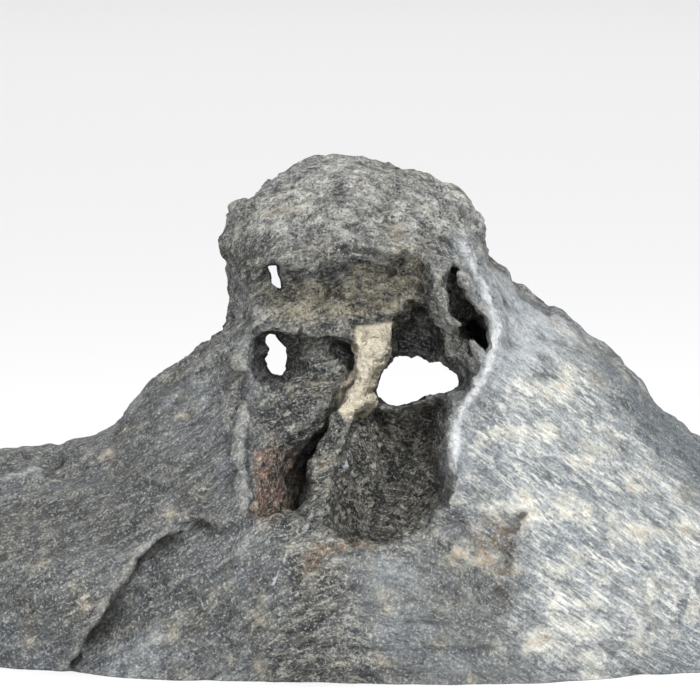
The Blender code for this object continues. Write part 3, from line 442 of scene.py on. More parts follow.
class Carving:
    # the stone as a field of distances in millimetres on the grid, negative inside the stone

    def __init__(self):
        self.axes = [axisValues(i) for i in range(3)]
        plain = np.meshgrid(*self.axes, indexing="ij", sparse=True)
        self.places = []
        for axis, values in enumerate(plain):
            bent = np.zeros([len(a) for a in self.axes], np.float32) + values
            for step, (spacing, size) in enumerate(carvingLook["warps"]):
                bent += size * smoothNoise(self.axes, spacing, seeds["warp"] + 10 * axis + step)
            self.places.append(bent)
        self.field = self.body()

    def atColumns(self, columnMap):
        x, _, z = self.places
        return readMap(columnMap, x, z, self.axes[0][0], self.axes[2][0], carvingLook["voxel"])

    def body(self):
        # the stone before the hollows: the space between the skyline and the two reliefs
        x, _, z = self.axes
        y = self.places[1]
        sides = []
        for places, sign in ((front, 1), (back, -1)):
            surface = relief(places, x, z)
            steepness = np.sqrt(1 + sum(g**2 for g in np.gradient(surface, carvingLook["voxel"])))
            sides.append(sign * (self.atColumns(surface) - y) / self.atColumns(steepness))
        between = smoothMax(*sides, carvingLook["reliefRounding"])
        self.sky = self.atColumns(outlineDistance(skyline, x, z)) - carvingLook["skyGrowth"]
        return smoothMax(between, self.sky, carvingLook["skyRounding"])

    def windowRound(self, low, high):
        return tuple(slice(*np.searchsorted(axis, (lo, hi))) for axis, lo, hi in zip(self.axes, low, high))

    def ellipsoid(self, part, centre, half, square):
        x, y, z = (place[part] - c for place, c in zip(self.places, centre))
        shape = sum(np.abs(v / h) ** square for v, h in zip((x, y, z), half)) ** (1 / square)
        away = np.sqrt(x * x + y * y + z * z)
        return away * (1 - 1 / np.maximum(shape, 1e-3))

    def rope(self, part, points):
        # the distance from a rope of changing radius through the points
        x, y, z = (place[part] for place in self.places)
        nearest = np.full(x.shape, farAway, np.float32)
        for (ax, ay, az, ar), (bx, by, bz, br) in zip(points, points[1:]):
            ex, ey, ez = bx - ax, by - ay, bz - az
            t = np.clip(((x - ax) * ex + (y - ay) * ey + (z - az) * ez) / (ex**2 + ey**2 + ez**2), 0, 1)
            gap = np.sqrt((x - ax - t * ex) ** 2 + (y - ay - t * ey) ** 2 + (z - az - t * ez) ** 2)
            nearest = smoothMin(nearest, gap - (ar + t * (br - ar)), ropeBlend)
        return nearest

    def drawnHollow(self, part, outline, floor, rounding):
        # the distance from a hollow that is drawn in the front view, negative in the open space
        x, y, z = (place[part] for place in self.places)
        across, up = seen(x, y, z)
        walls, axes, low = outlineMap(outline)
        wall = readMap(walls, across, up, low[0], low[1], mapStep)
        depth = readMap(relief(floor, *axes), across, up, low[0], low[1], mapStep)
        return smoothMax(wall, y - depth, rounding)

    def takeOut(self, hollows, blend, edge, grown=0.0):
        # hollows run together over the blend, the stone's edge round them is rounded over the edge, and
        # each outline is cut this much wider than it is drawn
        taken = np.full(self.field.shape, farAway, np.float32)
        for outline, floor, rounding in hollows.values():
            (left, down), (right, up) = np.min(outline, 0), np.max(outline, 0)
            part = self.windowRound((left - windowMargin, gridLow[1], down - downMargin),
                                    (right + windowMargin, gridHigh[1], up + upMargin))
            taken[part] = smoothMin(taken[part], self.drawnHollow(part, outline, floor, rounding), blend)
        self.field = smoothMax(self.field, -taken + grown, edge)

    def scoop(self, scoops, edge):
        for centre, half, square in scoops.values():
            reach = np.add(half, windowMargin)
            part = self.windowRound(np.subtract(centre, reach), np.add(centre, reach))
            self.field[part] = smoothMax(self.field[part],
                                         -self.ellipsoid(part, centre, half, square), edge)

    def along(self, points):
        points = np.array(points)
        reach = points[:, 3].max() + windowMargin
        return self.windowRound(points[:, :3].min(0) - reach, points[:, :3].max(0) + reach)

    def layOn(self, lumps, blend):
        for points in lumps.values():
            part = self.along(points)
            self.field[part] = smoothMin(self.field[part], self.rope(part, points), blend)

    def cutIn(self, cuts, edge):
        for points in cuts.values():
            part = self.along(points)
            self.field[part] = smoothMax(self.field[part], -self.rope(part, points), edge)

    def roughen(self):
        # rounded bumps, sharp creases and ledges that run along the skyline, as in the CAD source
        look = carvingLook
        calm = np.clip(-self.sky / look["calmEdge"], look["calmShare"], 1)
        for step, (spacing, size) in enumerate(look["bumps"]):
            noise = size * smoothNoise(self.axes, spacing, seeds["bump"] + step)
            self.field += noise * calm if spacing > look["calmEdge"] else noise
        for step, (spacing, size) in enumerate(look["creases"]):
            noise = np.abs(smoothNoise(self.axes, spacing, seeds["crease"] + step))
            self.field += size * (look["creaseShare"] - noise)
        ledges = look["ledges"]
        width, size = ledges["wander"]
        depth = (self.sky + size * smoothNoise(self.axes, width, seeds["ledge"])) / ledges["spacing"]
        depth -= np.floor(depth)
        rise, fall = depth / ledges["brow"], (1 - depth) / (1 - ledges["brow"])
        shown = np.clip(0.5 + smoothNoise(self.axes, ledges["gaps"], seeds["ledge"] + 1), 0, 1)
        self.field += ledges["size"] * (np.minimum(rise**3, fall) - ledges["mean"]) * shown

    def roughenFinely(self):
        # what the CAD source leaves out: fine bumps, ridges and cracks, weaker on worn stone, and leaves
        look = carvingLook
        rough = self.roughness() * (1 - look["skyCalm"] * np.clip(1 + self.sky / look["calmEdge"], 0, 1))
        for step, (spacing, size) in enumerate(look["fineBumps"]):
            self.field += size * rough * smoothNoise(self.axes, spacing, seeds["fine"] + step)
        for step, (spacing, size) in enumerate(look["fineRidges"]):
            noise = np.abs(smoothNoise(self.axes, spacing, seeds["ridge"] + step))
            self.field -= size * rough * (look["creaseShare"] - noise)
        for step, (spacing, size) in enumerate(look["cracks"]):
            noise = np.abs(smoothNoise(self.axes, spacing, seeds["crack"] + step))
            self.field += size * rough * np.clip(look["crackShare"] - 2 * noise, 0, 1)
        widths, size = look["leaves"]
        self.field += size * smoothNoise(self.axes, widths, seeds["leaf"])

    def roughness(self):
        # how rough the stone is at each place, 1 in the grotto and on the crown, less on the worn slopes
        x, y, z = np.meshgrid(*self.axes, indexing="ij", sparse=True)
        across, up = seen(x, y, z)
        rough = np.ones(self.field.shape, np.float32)
        for outline, left in wornZones.values():
            edge = fromOutline(outline, across, up) / carvingLook["wornEdge"]
            rough = np.minimum(rough, left + (1 - left) * np.clip(0.5 + edge, 0, 1))
        return rough


def carve():
    stone = Carving()
    print("stage: body carved")
    stone.takeOut(grotto, blend=1, edge=2)
    stone.layOn(ribs, blend=4)
    stone.takeOut(caves, blend=2, edge=1.5)
    stone.scoop(rearHollows, edge=8)
    stone.takeOut(steps, blend=1, edge=2.5)
    stone.cutIn(furrows, edge=1.5)
    stone.roughen()
    stone.takeOut(openings, blend=1, edge=1)
    stone.roughenFinely()
    stone.takeOut(openings, blend=1, edge=0.5, grown=carvingLook["openingGrowth"])
    print("stage: hollows and roughness carved")
    return stone


def meshFromField(field):
    # a mesh in metres, in the CAD frame, of where the field is zero, without loose crumbs
    grid = openvdb.FloatGrid(fieldBand)
    grid.copyFromArray(np.clip(field, -fieldBand, fieldBand).astype(np.float32))
    points, triangles, quads = grid.convertToPolygons(isovalue=0.0, adaptivity=0.0)
    points = (np.array(gridLow) - middle + points * carvingLook["voxel"]) * millimetre
    mesh = bpy.data.meshes.new("rockSkin")
    mesh.from_pydata(points.tolist(), [], triangles.tolist() + quads.tolist())
    work = bmesh.new()
    work.from_mesh(mesh)
    keepLargest(work)
    bmesh.ops.bisect_plane(work, geom=work.verts[:] + work.edges[:] + work.faces[:], dist=1e-6,
                           plane_co=(0, 0, 0), plane_no=(0, 0, -1), clear_outer=True)
    bmesh.ops.holes_fill(work, edges=[e for e in work.edges if e.is_boundary], sides=0)
    bmesh.ops.triangulate(work, faces=[f for f in work.faces if len(f.verts) > 4])
    if work.calc_volume(signed=True) < 0:
        bmesh.ops.reverse_faces(work, faces=work.faces)
    work.to_mesh(mesh)
    work.free()
    return mesh


def keepLargest(work):
    islands, seenVerts = [], set()
    for start in work.verts:
        if start in seenVerts:
            continue
        island, queue = [], [start]
        seenVerts.add(start)
        while queue:
            vertex = queue.pop()
            island.append(vertex)
            for edge in vertex.link_edges:
                other = edge.other_vert(vertex)
                if other not in seenVerts:
                    seenVerts.add(other)
                    queue.append(other)
        islands.append(island)
    islands.sort(key=len)
    for island in islands[:-1]:
        bmesh.ops.delete(work, geom=island, context="VERTS")


def vertexPlaces(mesh):
    places = np.zeros(len(mesh.vertices) * 3, np.float32)
    mesh.vertices.foreach_get("co", places)
    return places.reshape(-1, 3)


def thinned(mesh, triangles):
    thick = bpy.data.objects.new("thickSkin", mesh)
    bpy.context.scene.collection.objects.link(thick)
    thin = thick.modifiers.new("thin", "DECIMATE")
    thin.ratio = triangles / sum(len(p.vertices) - 2 for p in mesh.polygons)
    result = bpy.data.meshes.new_from_object(thick.evaluated_get(bpy.context.evaluated_depsgraph_get()))
    bpy.data.objects.remove(thick)
    return result


def blurred(values, width):
    # the mean of a cube of the given width round each grid point
    steps = max(int(round(width / carvingLook["voxel"])) // 2, 1)
    for axis in range(3):
        reach = [(steps + 1, steps) if a == axis else (0, 0) for a in range(3)]
        padded = np.pad(values, reach, mode="edge")
        sums = np.cumsum(padded, axis=axis, dtype=np.float64)
        after = np.take(sums, range(2 * steps + 1, padded.shape[axis]), axis=axis)
        before = np.take(sums, range(0, padded.shape[axis] - 2 * steps - 1), axis=axis)
        values = ((after - before) / (2 * steps + 1)).astype(np.float32)
    return values


def readGrid(values, places):
    # the grid's values at places given in carving millimetres
    cell = [np.clip((p - low) / carvingLook["voxel"], 0, n - 1.001)
            for p, low, n in zip(places.T, gridLow, values.shape)]
    (i, a), (j, b), (k, c) = ((v.astype(np.int32), v - v.astype(np.int32)) for v in cell)
    found = 0
    for di, wi in ((0, 1 - a), (1, a)):
        for dj, wj in ((0, 1 - b), (1, b)):
            for dk, wk in ((0, 1 - c), (1, c)):
                found = found + values[i + di, j + dj, k + dk] * wi * wj * wk
    return found


def paintNumber(mesh, name, values):
    layer = mesh.attributes.new(name, "FLOAT", "POINT")
    layer.data.foreach_set("value", np.ascontiguousarray(values, np.float32))


# How the stone is painted, in millimetres.
paintLook = {
    "creviceWidth": 4.5,  # how wide a hollow still counts as a crevice
    "hollowWidths": (14, 12),  # the two blurs that find the deep hollows
    "outlineReach": 24,  # how far from its outline a zone or a vein is measured
    "zoneDepth": 6.0,  # the least depth over which a painted zone fades out at its back
    "veinsBefore": -8,  # the y that the veins stay in front of
}


def paintRock(mesh, stone):
    # numbers on the points that the material reads: crevices, deep hollows, roughness, bedding and zones
    look = paintLook
    places = vertexPlaces(mesh) / millimetre + middle
    solid = np.clip(0.5 - stone.field / (2 * carvingLook["voxel"]), 0, 1)
    paintNumber(mesh, "crevice", readGrid(blurred(solid, look["creviceWidth"]), places) - 0.5)
    for width in look["hollowWidths"]:
        solid = blurred(solid, width)
    paintNumber(mesh, "deep", readGrid(solid, places) - 0.5)
    paintNumber(mesh, "rough", readGrid(stone.roughness(), places))
    paintNumber(mesh, "bedding", places[:, 2] - np.interp(places[:, 0], *zip(*beddingLine)))
    across, up = seen(*places.T)
    for name, (outline, soft, behind) in paintZones.items():
        edge = fromOutline(outline, across, up, look["outlineReach"])
        depth = (behind - places[:, 1]) / max(soft, look["zoneDepth"])
        amount = np.clip(0.5 - edge / soft, 0, 1) * np.clip(depth, 0, 1)
        paintNumber(mesh, name, amount)
    for name, line in veins.items():
        away = fromOutline(line, across, up, look["outlineReach"], closed=False)
        paintNumber(mesh, name, np.where(places[:, 1] < look["veinsBefore"], away, look["outlineReach"]))


# The skin's grain and facets: the sizes in metres that the tree takes, how far the facets lean, and the
# height in metres over which the foot stays flat.
skinLook = {
    "Grain Width": 2.6 * millimetre,
    "Grain Height": 1.0 * millimetre,
    "Facet Width": 5.0 * millimetre,
    "Facet Lean": 0.5,
    "Seed": 7.0,
    "Flat Foot": 0.5 * millimetre,
}


def makeSkinTree():
    # Geometry Nodes: grain and broken facets pushed out of the skin, higher where the stone is rough
    tree = bpy.data.node_groups.new("stoneSkin", "GeometryNodeTree")
    face = tree.interface
    face.new_socket("Geometry", in_out="INPUT", socket_type="NodeSocketGeometry")
    for name, value in skinLook.items():
        face.new_socket(name, in_out="INPUT", socket_type="NodeSocketFloat").default_value = value
    face.new_socket("Stone", in_out="INPUT", socket_type="NodeSocketMaterial")
    face.new_socket("Geometry", in_out="OUTPUT", socket_type="NodeSocketGeometry")
    given = addNode(tree, "NodeGroupInput")
    place = addNode(tree, "GeometryNodeInputPosition")
    normal = addNode(tree, "GeometryNodeInputNormal")
    rough = addNode(tree, "GeometryNodeInputNamedAttribute", {"data_type": "FLOAT"}, {"Name": "rough"})
    grainScale = addNode(tree, "ShaderNodeMath", {"operation": "DIVIDE"},
                         {0: 1.0, 1: given.outputs["Grain Width"]})
    facetScale = addNode(tree, "ShaderNodeMath", {"operation": "DIVIDE"},
                         {0: 1.0, 1: given.outputs["Facet Width"]})
    grain = addNode(tree, "ShaderNodeTexNoise", {"noise_dimensions": "4D"},
                    {"Vector": place.outputs[0], "W": given.outputs["Seed"], "Scale": grainScale.outputs[0],
                     "Detail": 2.0, "Roughness": 0.6})
    grainUp = addNode(tree, "ShaderNodeMath", {"operation": "SUBTRACT"}, {0: grain.outputs[0], 1: 0.5})
    grainSize = addNode(tree, "ShaderNodeMath", {"operation": "MULTIPLY"},
                        {0: grainUp.outputs[0], 1: given.outputs["Grain Height"]})
    facets = addNode(tree, "ShaderNodeTexVoronoi", {"voronoi_dimensions": "4D", "feature": "F1"},
                     {"Vector": place.outputs[0], "W": given.outputs["Seed"],
                      "Scale": facetScale.outputs[0], "Randomness": 1.0})
    fromCentre = addNode(tree, "ShaderNodeVectorMath", {"operation": "SUBTRACT"},
                         {0: place.outputs[0], 1: facets.outputs["Position"]})
    lean = addNode(tree, "ShaderNodeVectorMath", {"operation": "SUBTRACT"},
                   {0: facets.outputs["Color"], 1: (0.5, 0.5, 0.5)})
    facetUp = addNode(tree, "ShaderNodeVectorMath", {"operation": "DOT_PRODUCT"},
                      {0: fromCentre.outputs[0], 1: lean.outputs[0]})
    facetSize = addNode(tree, "ShaderNodeMath", {"operation": "MULTIPLY"},
                        {0: facetUp.outputs["Value"], 1: given.outputs["Facet Lean"]})
    both = addNode(tree, "ShaderNodeMath", {"operation": "ADD"},
                   {0: grainSize.outputs[0], 1: facetSize.outputs[0]})
    scaled = addNode(tree, "ShaderNodeMath", {"operation": "MULTIPLY"},
                     {0: both.outputs[0], 1: rough.outputs[0]})
    offset = addNode(tree, "ShaderNodeVectorMath", {"operation": "SCALE"},
                     {0: normal.outputs[0], "Scale": scaled.outputs[0]})
    aboveFoot = addNode(tree, "ShaderNodeSeparateXYZ", {}, {0: place.outputs[0]})
    free = addNode(tree, "FunctionNodeCompare", {"data_type": "FLOAT", "operation": "GREATER_THAN"},
                   {"A": aboveFoot.outputs["Z"], "B": given.outputs["Flat Foot"]})
    moved = addNode(tree, "GeometryNodeSetPosition", {},
                    {"Geometry": given.outputs["Geometry"], "Selection": free.outputs[0],
                     "Offset": offset.outputs[0]})
    real = addNode(tree, "GeometryNodeRealizeInstances", {}, {"Geometry": moved.outputs[0]})
    dressed = addNode(tree, "GeometryNodeSetMaterial", {},
                      {"Geometry": real.outputs[0], "Material": given.outputs["Stone"]})
    out = addNode(tree, "NodeGroupOutput")
    tree.links.new(dressed.outputs[0], out.inputs[0])
    return tree


def addNode(tree, kind, settings=None, inputs=None):
    # adds a node with its settings; an input takes a value, or is linked to another node's output
    node = tree.nodes.new(kind)
    for name, value in (settings or {}).items():
        setattr(node, name, value)
    for name, value in (inputs or {}).items():
        socket = node.inputs[name]
        if isinstance(value, bpy.types.NodeSocket):
            tree.links.new(value, socket)
        else:
            socket.default_value = value
    return node


def hexColour(text):
    # an sRGB hex value as linear red, green, blue and alpha
    parts = [int(text[i:i + 2], 16) / 255 for i in (1, 3, 5)]
    return [p / 12.92 if p <= 0.04045 else ((p + 0.055) / 1.055) ** 2.4 for p in parts] + [1.0]


# What a user would change on the stone's finish. Widths are in millimetres, colours sRGB.
stoneLook = {
    "dark": "#313538", "middle": "#565a5e",  # the dry skin of the stone
    "roughness": 0.6, "wornRoughness": 0.48, "specular": 0.5,
    "facetRelief": 2.0,  # heights of the reliefs that are finer than the mesh
    "fibreRelief": 2.4,
    "mottleRelief": 2.4,
    "grainRelief": 1.0,
    "smoothAt": 0.35, "roughAt": 0.9,  # how rough the stone is where its finish is fully worn, and not worn
    "wornRelief": 0.45,  # how much of the relief is left where it is fully worn
    "bendWidth": 2.0, "bendSize": 3.0,  # what keeps the cells from looking regular
    "beddingStretch": (0.3, 0.4, 0.1),  # how closely the fibres follow X, Y and Z, beside the bedding
    "veinWander": 4.0, "zoneWander": 1.6,  # how far the veins and the edges of the zones stray
    "zoneEnds": (0.2, 0.8),
}

# The patterns, each as (node, its settings, its inputs, width in mm, the places it reads).
stonePatterns = {
    "clouds": ("ShaderNodeTexNoise", {}, {"Detail": 3.0, "Roughness": 0.5}, 24.0, "plain"),
    "stain": ("ShaderNodeTexNoise", {}, {"Detail": 6.0, "Roughness": 0.62}, 11.0, "plain"),
    "mottle": ("ShaderNodeTexNoise", {}, {"Detail": 7.0, "Roughness": 0.72}, 4.5, "plain"),
    "grain": ("ShaderNodeTexNoise", {}, {"Detail": 2.0, "Roughness": 0.7}, 0.8, "plain"),
    "fibre": ("ShaderNodeTexNoise", {}, {"Detail": 4.0, "Roughness": 0.7, "Distortion": 0.8}, 1.5, "bedded"),
    "streak": ("ShaderNodeTexNoise", {}, {"Detail": 4.0, "Roughness": 0.62}, 5.0, "bedded"),
    "facets": ("ShaderNodeTexVoronoi", {"feature": "F1"}, {}, 2.6, "bent"),
    "crystals": ("ShaderNodeTexVoronoi", {"feature": "F1"}, {}, 1.1, "bent"),
}

# Masks between 0 and 1, each as (what it reads, the value where it is 0, the value where it is 1).
stoneMasks = {
    "cloudy": ("clouds", 0.44, 0.62),
    "cloudLow": ("clouds", 0.5, 0.34),
    "stained": ("stain", 0.5, 0.66),
    "stainLow": ("stain", 0.48, 0.34),
    "mottled": ("mottle", 0.36, 0.62),
    "mottleHigh": ("mottle", 0.52, 0.66),
    # the high and low ends of the patterns that also make the fine relief: the stone's pale and dark grains,
    # and also a painted highlight on the relief's tops and painted shade in its dips
    "mottleLow": ("mottle", 0.47, 0.36),
    "grainHigh": ("grain", 0.54, 0.68),
    "grainLow": ("grain", 0.46, 0.32),
    "fibreHigh": ("fibre", 0.5, 0.64),
    "fibreLow": ("fibre", 0.47, 0.34),
    "streakLow": ("streak", 0.5, 0.38),
    "streakHigh": ("streak", 0.5, 0.64),
    "facetPale": ("facetTone", 0.5, 1.0),
    "facetDark": ("facetTone", 0.5, 0.0),
    "coarse": ("rough", 0.35, 0.95),
    # painted shade and dirt: darker where the skin lies in a crevice
    "creviceShadeAndDirt": ("crevice", 0.02, 0.16),
    "edge": ("crevice", -0.03, -0.14),
    "shade": ("deep", 0.1, 0.34),
    "brimCore": ("brimLine", 1.7, 0.3),
    "brimHaze": ("brimVein", 6.5, 0.5),
    "ribCore": ("ribLine", 0.5, 0.15),
    "footCore": ("footLine", 0.6, 0.2),
    "leftCore": ("leftLine", 0.8, 0.2),
}

# What is laid on the skin in order, each as (colour, how much of it, the masks or zones it is limited by).
stoneLayers = [
    ("#69717b", 0.6, ("cloudy",)),
    ("#8f8872", 0.7, ("stained", "mottled")),
    ("#a3a7a8", 0.45, ("cloudy", "streakHigh")),
    ("#e2e3de", 0.92, ("crownTop", "mottled")),
    ("#5d6570", 0.45, ("crownTop", "cloudLow")),
    ("#f4f3ec", 0.6, ("crownTop", "stained", "mottled")),
    ("#5c6673", 0.55, ("crownTop", "streakLow")),
    ("#f0efe6", 0.8, ("crownTop", "streakHigh", "mottleHigh")),
    ("#2c3033", 0.45, ("darkShoulder",)),
    ("#d2c8aa", 0.92, ("warmAlcove", "mottled")),
    ("#6b727c", 0.75, ("blueRidge", "mottled")),
    ("#7d807d", 0.5, ("paleFoot", "mottled")),
    ("#93999c", 0.92, ("paleSlope",)),
    ("#6f7a83", 0.75, ("paleSlope", "cloudLow")),
    ("#5b646b", 0.65, ("paleSlope", "streakLow")),
    ("#dcd9cb", 0.75, ("paleSlope", "stained")),
    ("#f2f0e6", 0.6, ("paleSlope", "fibreHigh")),
    ("#434e57", 0.85, ("duskRight",)),
    ("#a8aeb4", 0.8, ("hazeSlope",)),
    # dark grey stone and painted shade in the bowl and the window recess
    ("#484743", 0.9, ("darkBowl",)),
    ("#4f5359", 0.85, ("darkRecess",)),
    ("#8f8468", 0.6, ("tanCave", "mottled")),
    ("#94582f", 0.95, ("ironPocket", "mottled")),
    ("#4c4541", 0.7, ("ironPocket", "streakLow")),
    ("#8f6c4d", 0.85, ("ironRib", "stained")),
    ("#5c4626", 0.9, ("ironCrevice", "mottled")),
    ("#9c7c5c", 0.8, ("ironFront", "mottled")),
    # pale grains on the tops of the fine relief and dark ones in its dips: the stone's grains, and also
    # painted highlights and painted shade
    ("#e0ddcf", 0.65, ("fibreHigh", "coarse")),
    ("#1c1e20", 0.6, ("fibreLow", "coarse")),
    ("#202427", 0.5, ("fibreLow",)),
    ("#2b2f33", 0.5, ("stainLow", "coarse")),
    ("#c9c6b8", 0.22, ("facetPale", "coarse")),
    ("#303335", 0.25, ("facetDark", "coarse")),
    ("#ece8d8", 0.5, ("grainHigh", "coarse")),
    ("#17191a", 0.35, ("grainLow", "coarse")),
    ("#202325", 0.4, ("grainLow",)),
    ("#d4d3cb", 0.3, ("grainHigh",)),
    ("#202224", 0.5, ("mottleLow", "coarse")),
    # the pillar's pale tan, painted brighter than its stone as painted light where the brow shades it
    ("#fdf2d8", 0.9, ("tanPillar",)),
    ("#b6bec6", 0.4, ("brimHaze",)),
    ("#e9ecee", 0.85, ("brimCore",)),
    ("#e0e3e4", 0.8, ("ribCore",)),
    ("#d8dbdc", 0.6, ("footCore",)),
    ("#cfd3d4", 0.5, ("leftCore",)),
    # painted shade and dirt in the crevices, then painted shade in the deep hollows
    ("#23221f", 0.75, ("creviceShadeAndDirt",)),
    ("#333230", 0.3, ("shade",)),
    ("#c6c5bc", 0.4, ("edge", "mottled")),
]


def makeStone():
    # Weathered limestone with calcite veins, a natural break worn by water and handling: to the eye matt and
    # speckled with fine mineral grains, with painted highlights on the tops of the fine relief, painted
    # shade in its dips, painted shade and dirt in the crevices, painted shade in the deep hollows, and a
    # faint sheen on the worn slopes.
    material = bpy.data.materials.new("weatheredLimestone")
    material.use_nodes = True
    tree = material.node_tree
    shader = tree.nodes["Principled BSDF"]
    look = stoneLook
    place = addNode(tree, "ShaderNodeTexCoord")
    plain = addNode(tree, "ShaderNodeVectorMath", {"operation": "SCALE"},
                    {0: place.outputs["Object"], "Scale": 1000.0})

    # what the patterns and masks read: the numbers painted on the points, and the patterns themselves
    values = {}
    for name in sorted({*paintZones, *veins, "crevice", "deep", "rough", "bedding"}):
        values[name] = addNode(tree, "ShaderNodeAttribute", {"attribute_name": name}).outputs["Fac"]

    # the places: plain, bent so that no cell stays regular, and laid along the bedding under the skyline
    bends = addNode(tree, "ShaderNodeTexNoise", {},
                    {"Vector": plain.outputs[0], "Scale": 1 / look["bendWidth"], "Detail": 3.0})
    bent = addNode(tree, "ShaderNodeVectorMath", {"operation": "MULTIPLY_ADD"},
                   {0: bends.outputs["Color"], 1: [look["bendSize"]] * 3, 2: plain.outputs[0]})
    bedding = addNode(tree, "ShaderNodeCombineXYZ", {}, {"Z": values["bedding"]})
    along = addNode(tree, "ShaderNodeVectorMath", {"operation": "MULTIPLY"},
                    {0: plain.outputs[0], 1: look["beddingStretch"]})
    bedded = addNode(tree, "ShaderNodeVectorMath", {"operation": "ADD"},
                     {0: along.outputs[0], 1: bedding.outputs[0]})
    readFrom = {"plain": plain, "bent": bent, "bedded": bedded}

    patterns = {}
    for name, (kind, settings, inputs, width, places) in stonePatterns.items():
        patterns[name] = addNode(tree, kind, settings,
                                 {"Vector": readFrom[places].outputs[0], "Scale": 1 / width, **inputs})
        values[name] = patterns[name].outputs[0]
    tones = addNode(tree, "ShaderNodeSeparateColor", {}, {0: patterns["facets"].outputs["Color"]})
    values["facetTone"] = tones.outputs[0]
    wander = addNode(tree, "ShaderNodeMath", {"operation": "MULTIPLY_ADD"},
                     {0: values["mottle"], 1: look["veinWander"], 2: -look["veinWander"] / 2})
    for line, vein in (("brimLine", "brimVein"), ("ribLine", "ribVein"), ("footLine", "footVein"),
                       ("leftLine", "leftVein")):
        moved = addNode(tree, "ShaderNodeMath", {"operation": "ADD"},
                        {0: values[vein], 1: wander.outputs[0]})
        nearness = addNode(tree, "ShaderNodeMath", {"operation": "ABSOLUTE"}, {0: moved.outputs[0]})
        values[line] = nearness.outputs[0]
    # the painted zones end raggedly, as stains do
    ragged = addNode(tree, "ShaderNodeMath", {"operation": "MULTIPLY_ADD"},
                     {0: values["stain"], 1: look["zoneWander"], 2: -look["zoneWander"] / 2})
    for name in sorted(paintZones):
        values[name] = addNode(tree, "ShaderNodeMath", {"operation": "ADD"},
                               {0: values[name], 1: ragged.outputs[0]}).outputs[0]
    zones = {name: (name, *look["zoneEnds"]) for name in sorted(paintZones)}
    for name, (source, low, high) in {**zones, **stoneMasks}.items():
        values[name] = addNode(tree, "ShaderNodeMapRange", {"clamp": True},
                               {"Value": values[source], "From Min": low, "From Max": high}).outputs[0]

    # the colour: the two tones of the skin by the mottle, then the layers
    colour = addNode(tree, "ShaderNodeMix", {"data_type": "RGBA"},
                     {0: values["mottled"], 6: hexColour(look["dark"]),
                      7: hexColour(look["middle"])}).outputs[2]
    for tone, amount, limits in stoneLayers:
        share = amount
        for limit in limits:
            share = addNode(tree, "ShaderNodeMath", {"operation": "MULTIPLY"},
                            {0: values[limit], 1: share}).outputs[0]
        colour = addNode(tree, "ShaderNodeMix", {"data_type": "RGBA"},
                         {0: share, 6: colour, 7: hexColour(tone)}).outputs[2]
    tree.links.new(colour, shader.inputs["Base Color"])

    sheen = addNode(tree, "ShaderNodeMapRange", {"clamp": True},
                    {"Value": values["rough"], "From Min": look["smoothAt"], "From Max": look["roughAt"],
                     "To Min": look["wornRoughness"], "To Max": look["roughness"]})
    tree.links.new(sheen.outputs[0], shader.inputs["Roughness"])
    shader.inputs["Metallic"].default_value = 0.0
    shader.inputs["IOR"].default_value = 1.5
    shader.inputs["Specular IOR Level"].default_value = look["specular"]

    # the break's own relief, finer than the mesh, in millimetres: leaning facets, fibres and grain
    height = 0.0
    for name in ("facets", "crystals"):
        fromCentre = addNode(tree, "ShaderNodeVectorMath", {"operation": "SUBTRACT"},
                             {0: bent.outputs[0], 1: patterns[name].outputs["Position"]})
        lean = addNode(tree, "ShaderNodeVectorMath", {"operation": "SUBTRACT"},
                       {0: patterns[name].outputs["Color"], 1: (0.5, 0.5, 0.5)})
        risen = addNode(tree, "ShaderNodeVectorMath", {"operation": "DOT_PRODUCT"},
                        {0: fromCentre.outputs[0], 1: lean.outputs[0]})
        height = addNode(tree, "ShaderNodeMath", {"operation": "MULTIPLY_ADD"},
                         {0: risen.outputs["Value"], 1: look["facetRelief"], 2: height}).outputs[0]
    for name in ("fibre", "mottle", "grain"):
        height = addNode(tree, "ShaderNodeMath", {"operation": "MULTIPLY_ADD"},
                         {0: values[name], 1: look[name + "Relief"], 2: height}).outputs[0]
    strength = addNode(tree, "ShaderNodeMapRange", {"clamp": True},
                       {"Value": values["rough"], "From Min": look["smoothAt"], "From Max": 1.0,
                        "To Min": look["wornRelief"], "To Max": 1.0})
    bump = addNode(tree, "ShaderNodeBump", {},
                   {"Height": height, "Distance": millimetre, "Strength": strength.outputs[0]})
    tree.links.new(bump.outputs[0], shader.inputs["Normal"])
    return material


def makeRock():
    stone = carve()
    dense = meshFromField(stone.field)
    print("stage: dense skin", len(dense.polygons), "faces")
    mesh = thinned(dense, carvingLook["triangles"])
    paintRock(mesh, stone)
    print("stage: thinned to", sum(len(p.vertices) - 2 for p in mesh.polygons), "triangles and painted")
    shape = bpy.data.objects.new("rockShape", mesh)
    bpy.context.scene.collection.objects.link(shape)
    skin = shape.modifiers.new("skin", "NODES")
    skin.node_group = makeSkinTree()
    inputs = [item for item in skin.node_group.interface.items_tree if item.in_out == "INPUT"]
    sockets = {item.name: item.identifier for item in inputs}
    for name, value in {**skinLook, "Stone": makeStone()}.items():
        skin[sockets[name]] = value
    bpy.context.view_layer.update()
    finished = bpy.data.meshes.new_from_object(shape.evaluated_get(bpy.context.evaluated_depsgraph_get()))
    bpy.data.objects.remove(shape)
    finished.shade_smooth()
    rock = bpy.data.objects.new("rockStone", finished)
    bpy.context.scene.collection.objects.link(rock)
    return rock


rock = makeRock()
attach(rock, "root")
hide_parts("rock")
print("stage: rock finished")


# The studio: one flat pale sheet, so that the stone is seen from every side, and three soft lights. Each
# light has its place, what it points at, its width and height in metres, and its power.
studioLook = {
    "sheet": "#f4f4f5",
    "sheetHalfWidth": 6.0,
    "lights": {
        "keyLight": ((0.3, -0.85, 1.0), (0, 0, 0.07), (0.4, 0.4), 14.0),
        "fillLight": ((-0.1, -1.3, 0.4), (0, 0, 0.07), (1.0, 0.8), 6.5),
        "overheadLight": ((0.0, 2.3, 2.4), (0.0, 2.3, 0.0), (4.0, 3.2), 33.0),
    },
    "worldStrength": 0.6,
}


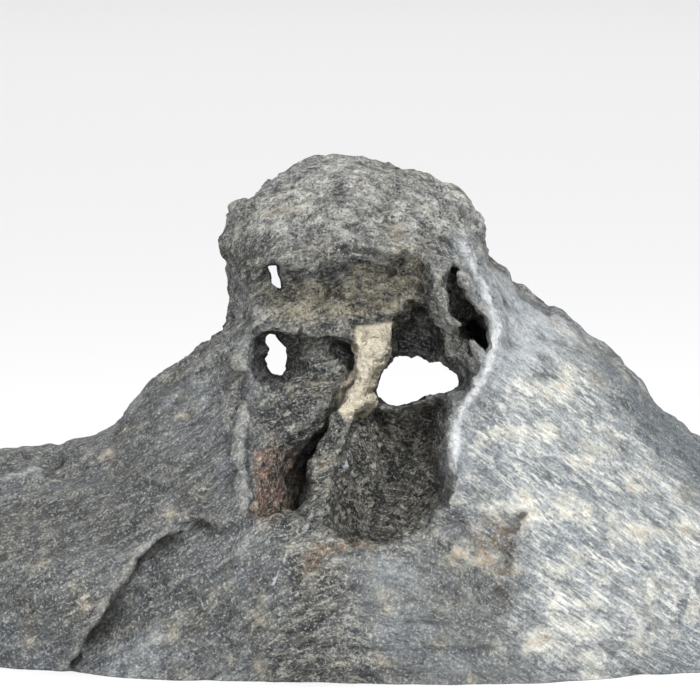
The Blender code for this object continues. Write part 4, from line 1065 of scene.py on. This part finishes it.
def makeSheet():
    look = studioLook
    work = bmesh.new()
    bmesh.ops.create_grid(work, x_segments=1, y_segments=1, size=look["sheetHalfWidth"])
    mesh = bpy.data.meshes.new("studioSheet")
    work.to_mesh(mesh)
    work.free()
    paper = bpy.data.materials.new("mattPaper")  # matt coated paper: even, without any gloss
    paper.use_nodes = True
    shader = paper.node_tree.nodes["Principled BSDF"]
    shader.inputs["Base Color"].default_value = hexColour(look["sheet"])
    shader.inputs["Roughness"].default_value = 0.95
    shader.inputs["Specular IOR Level"].default_value = 0.1
    mesh.materials.append(paper)
    sheet = bpy.data.objects.new("studioSheet", mesh)
    bpy.context.scene.collection.objects.link(sheet)


def addSoftLight(name, place, aim, size, power):
    light = bpy.data.lights.new(name, "AREA")
    light.shape = "RECTANGLE"
    light.size, light.size_y = size
    light.energy = power
    holder = bpy.data.objects.new(name, light)
    holder.location = place
    holder.rotation_euler = (Vector(place) - Vector(aim)).to_track_quat("Z", "Y").to_euler()
    bpy.context.scene.collection.objects.link(holder)


def makeStudio():
    look = studioLook
    makeSheet()
    for name, (place, aim, size, power) in look["lights"].items():
        addSoftLight(name, place, aim, size, power)
    world = bpy.data.worlds.new("softRoom")
    bpy.context.scene.world = world
    world.use_nodes = True
    sky = world.node_tree.nodes["Background"]
    sky.inputs["Color"].default_value = (1.0, 1.0, 1.0, 1.0)
    sky.inputs["Strength"].default_value = look["worldStrength"]


def makeCamera():
    # the photograph's view: level with the grotto's middle and a little above, with a long lens
    lens = bpy.data.cameras.new("photoCamera")
    lens.sensor_width = 36.0
    lens.lens = 222.857  # 700 picture points cover 210 mm at the stone's middle
    camera = bpy.data.objects.new("photoCamera", lens)
    tilt = math.radians(viewTilt)
    distance = viewDistance * millimetre
    camera.location = (-middle[0] * millimetre, -middle[1] * millimetre - distance * math.cos(tilt),
                       viewHeight * millimetre + distance * math.sin(tilt))
    camera.rotation_euler = (math.pi / 2 - tilt, 0, 0)
    bpy.context.scene.collection.objects.link(camera)
    bpy.context.scene.camera = camera


makeStudio()
makeCamera()
bpy.context.scene.view_settings.view_transform = "Standard"
print("stage: studio finished")

bpy.context.view_layer.update()
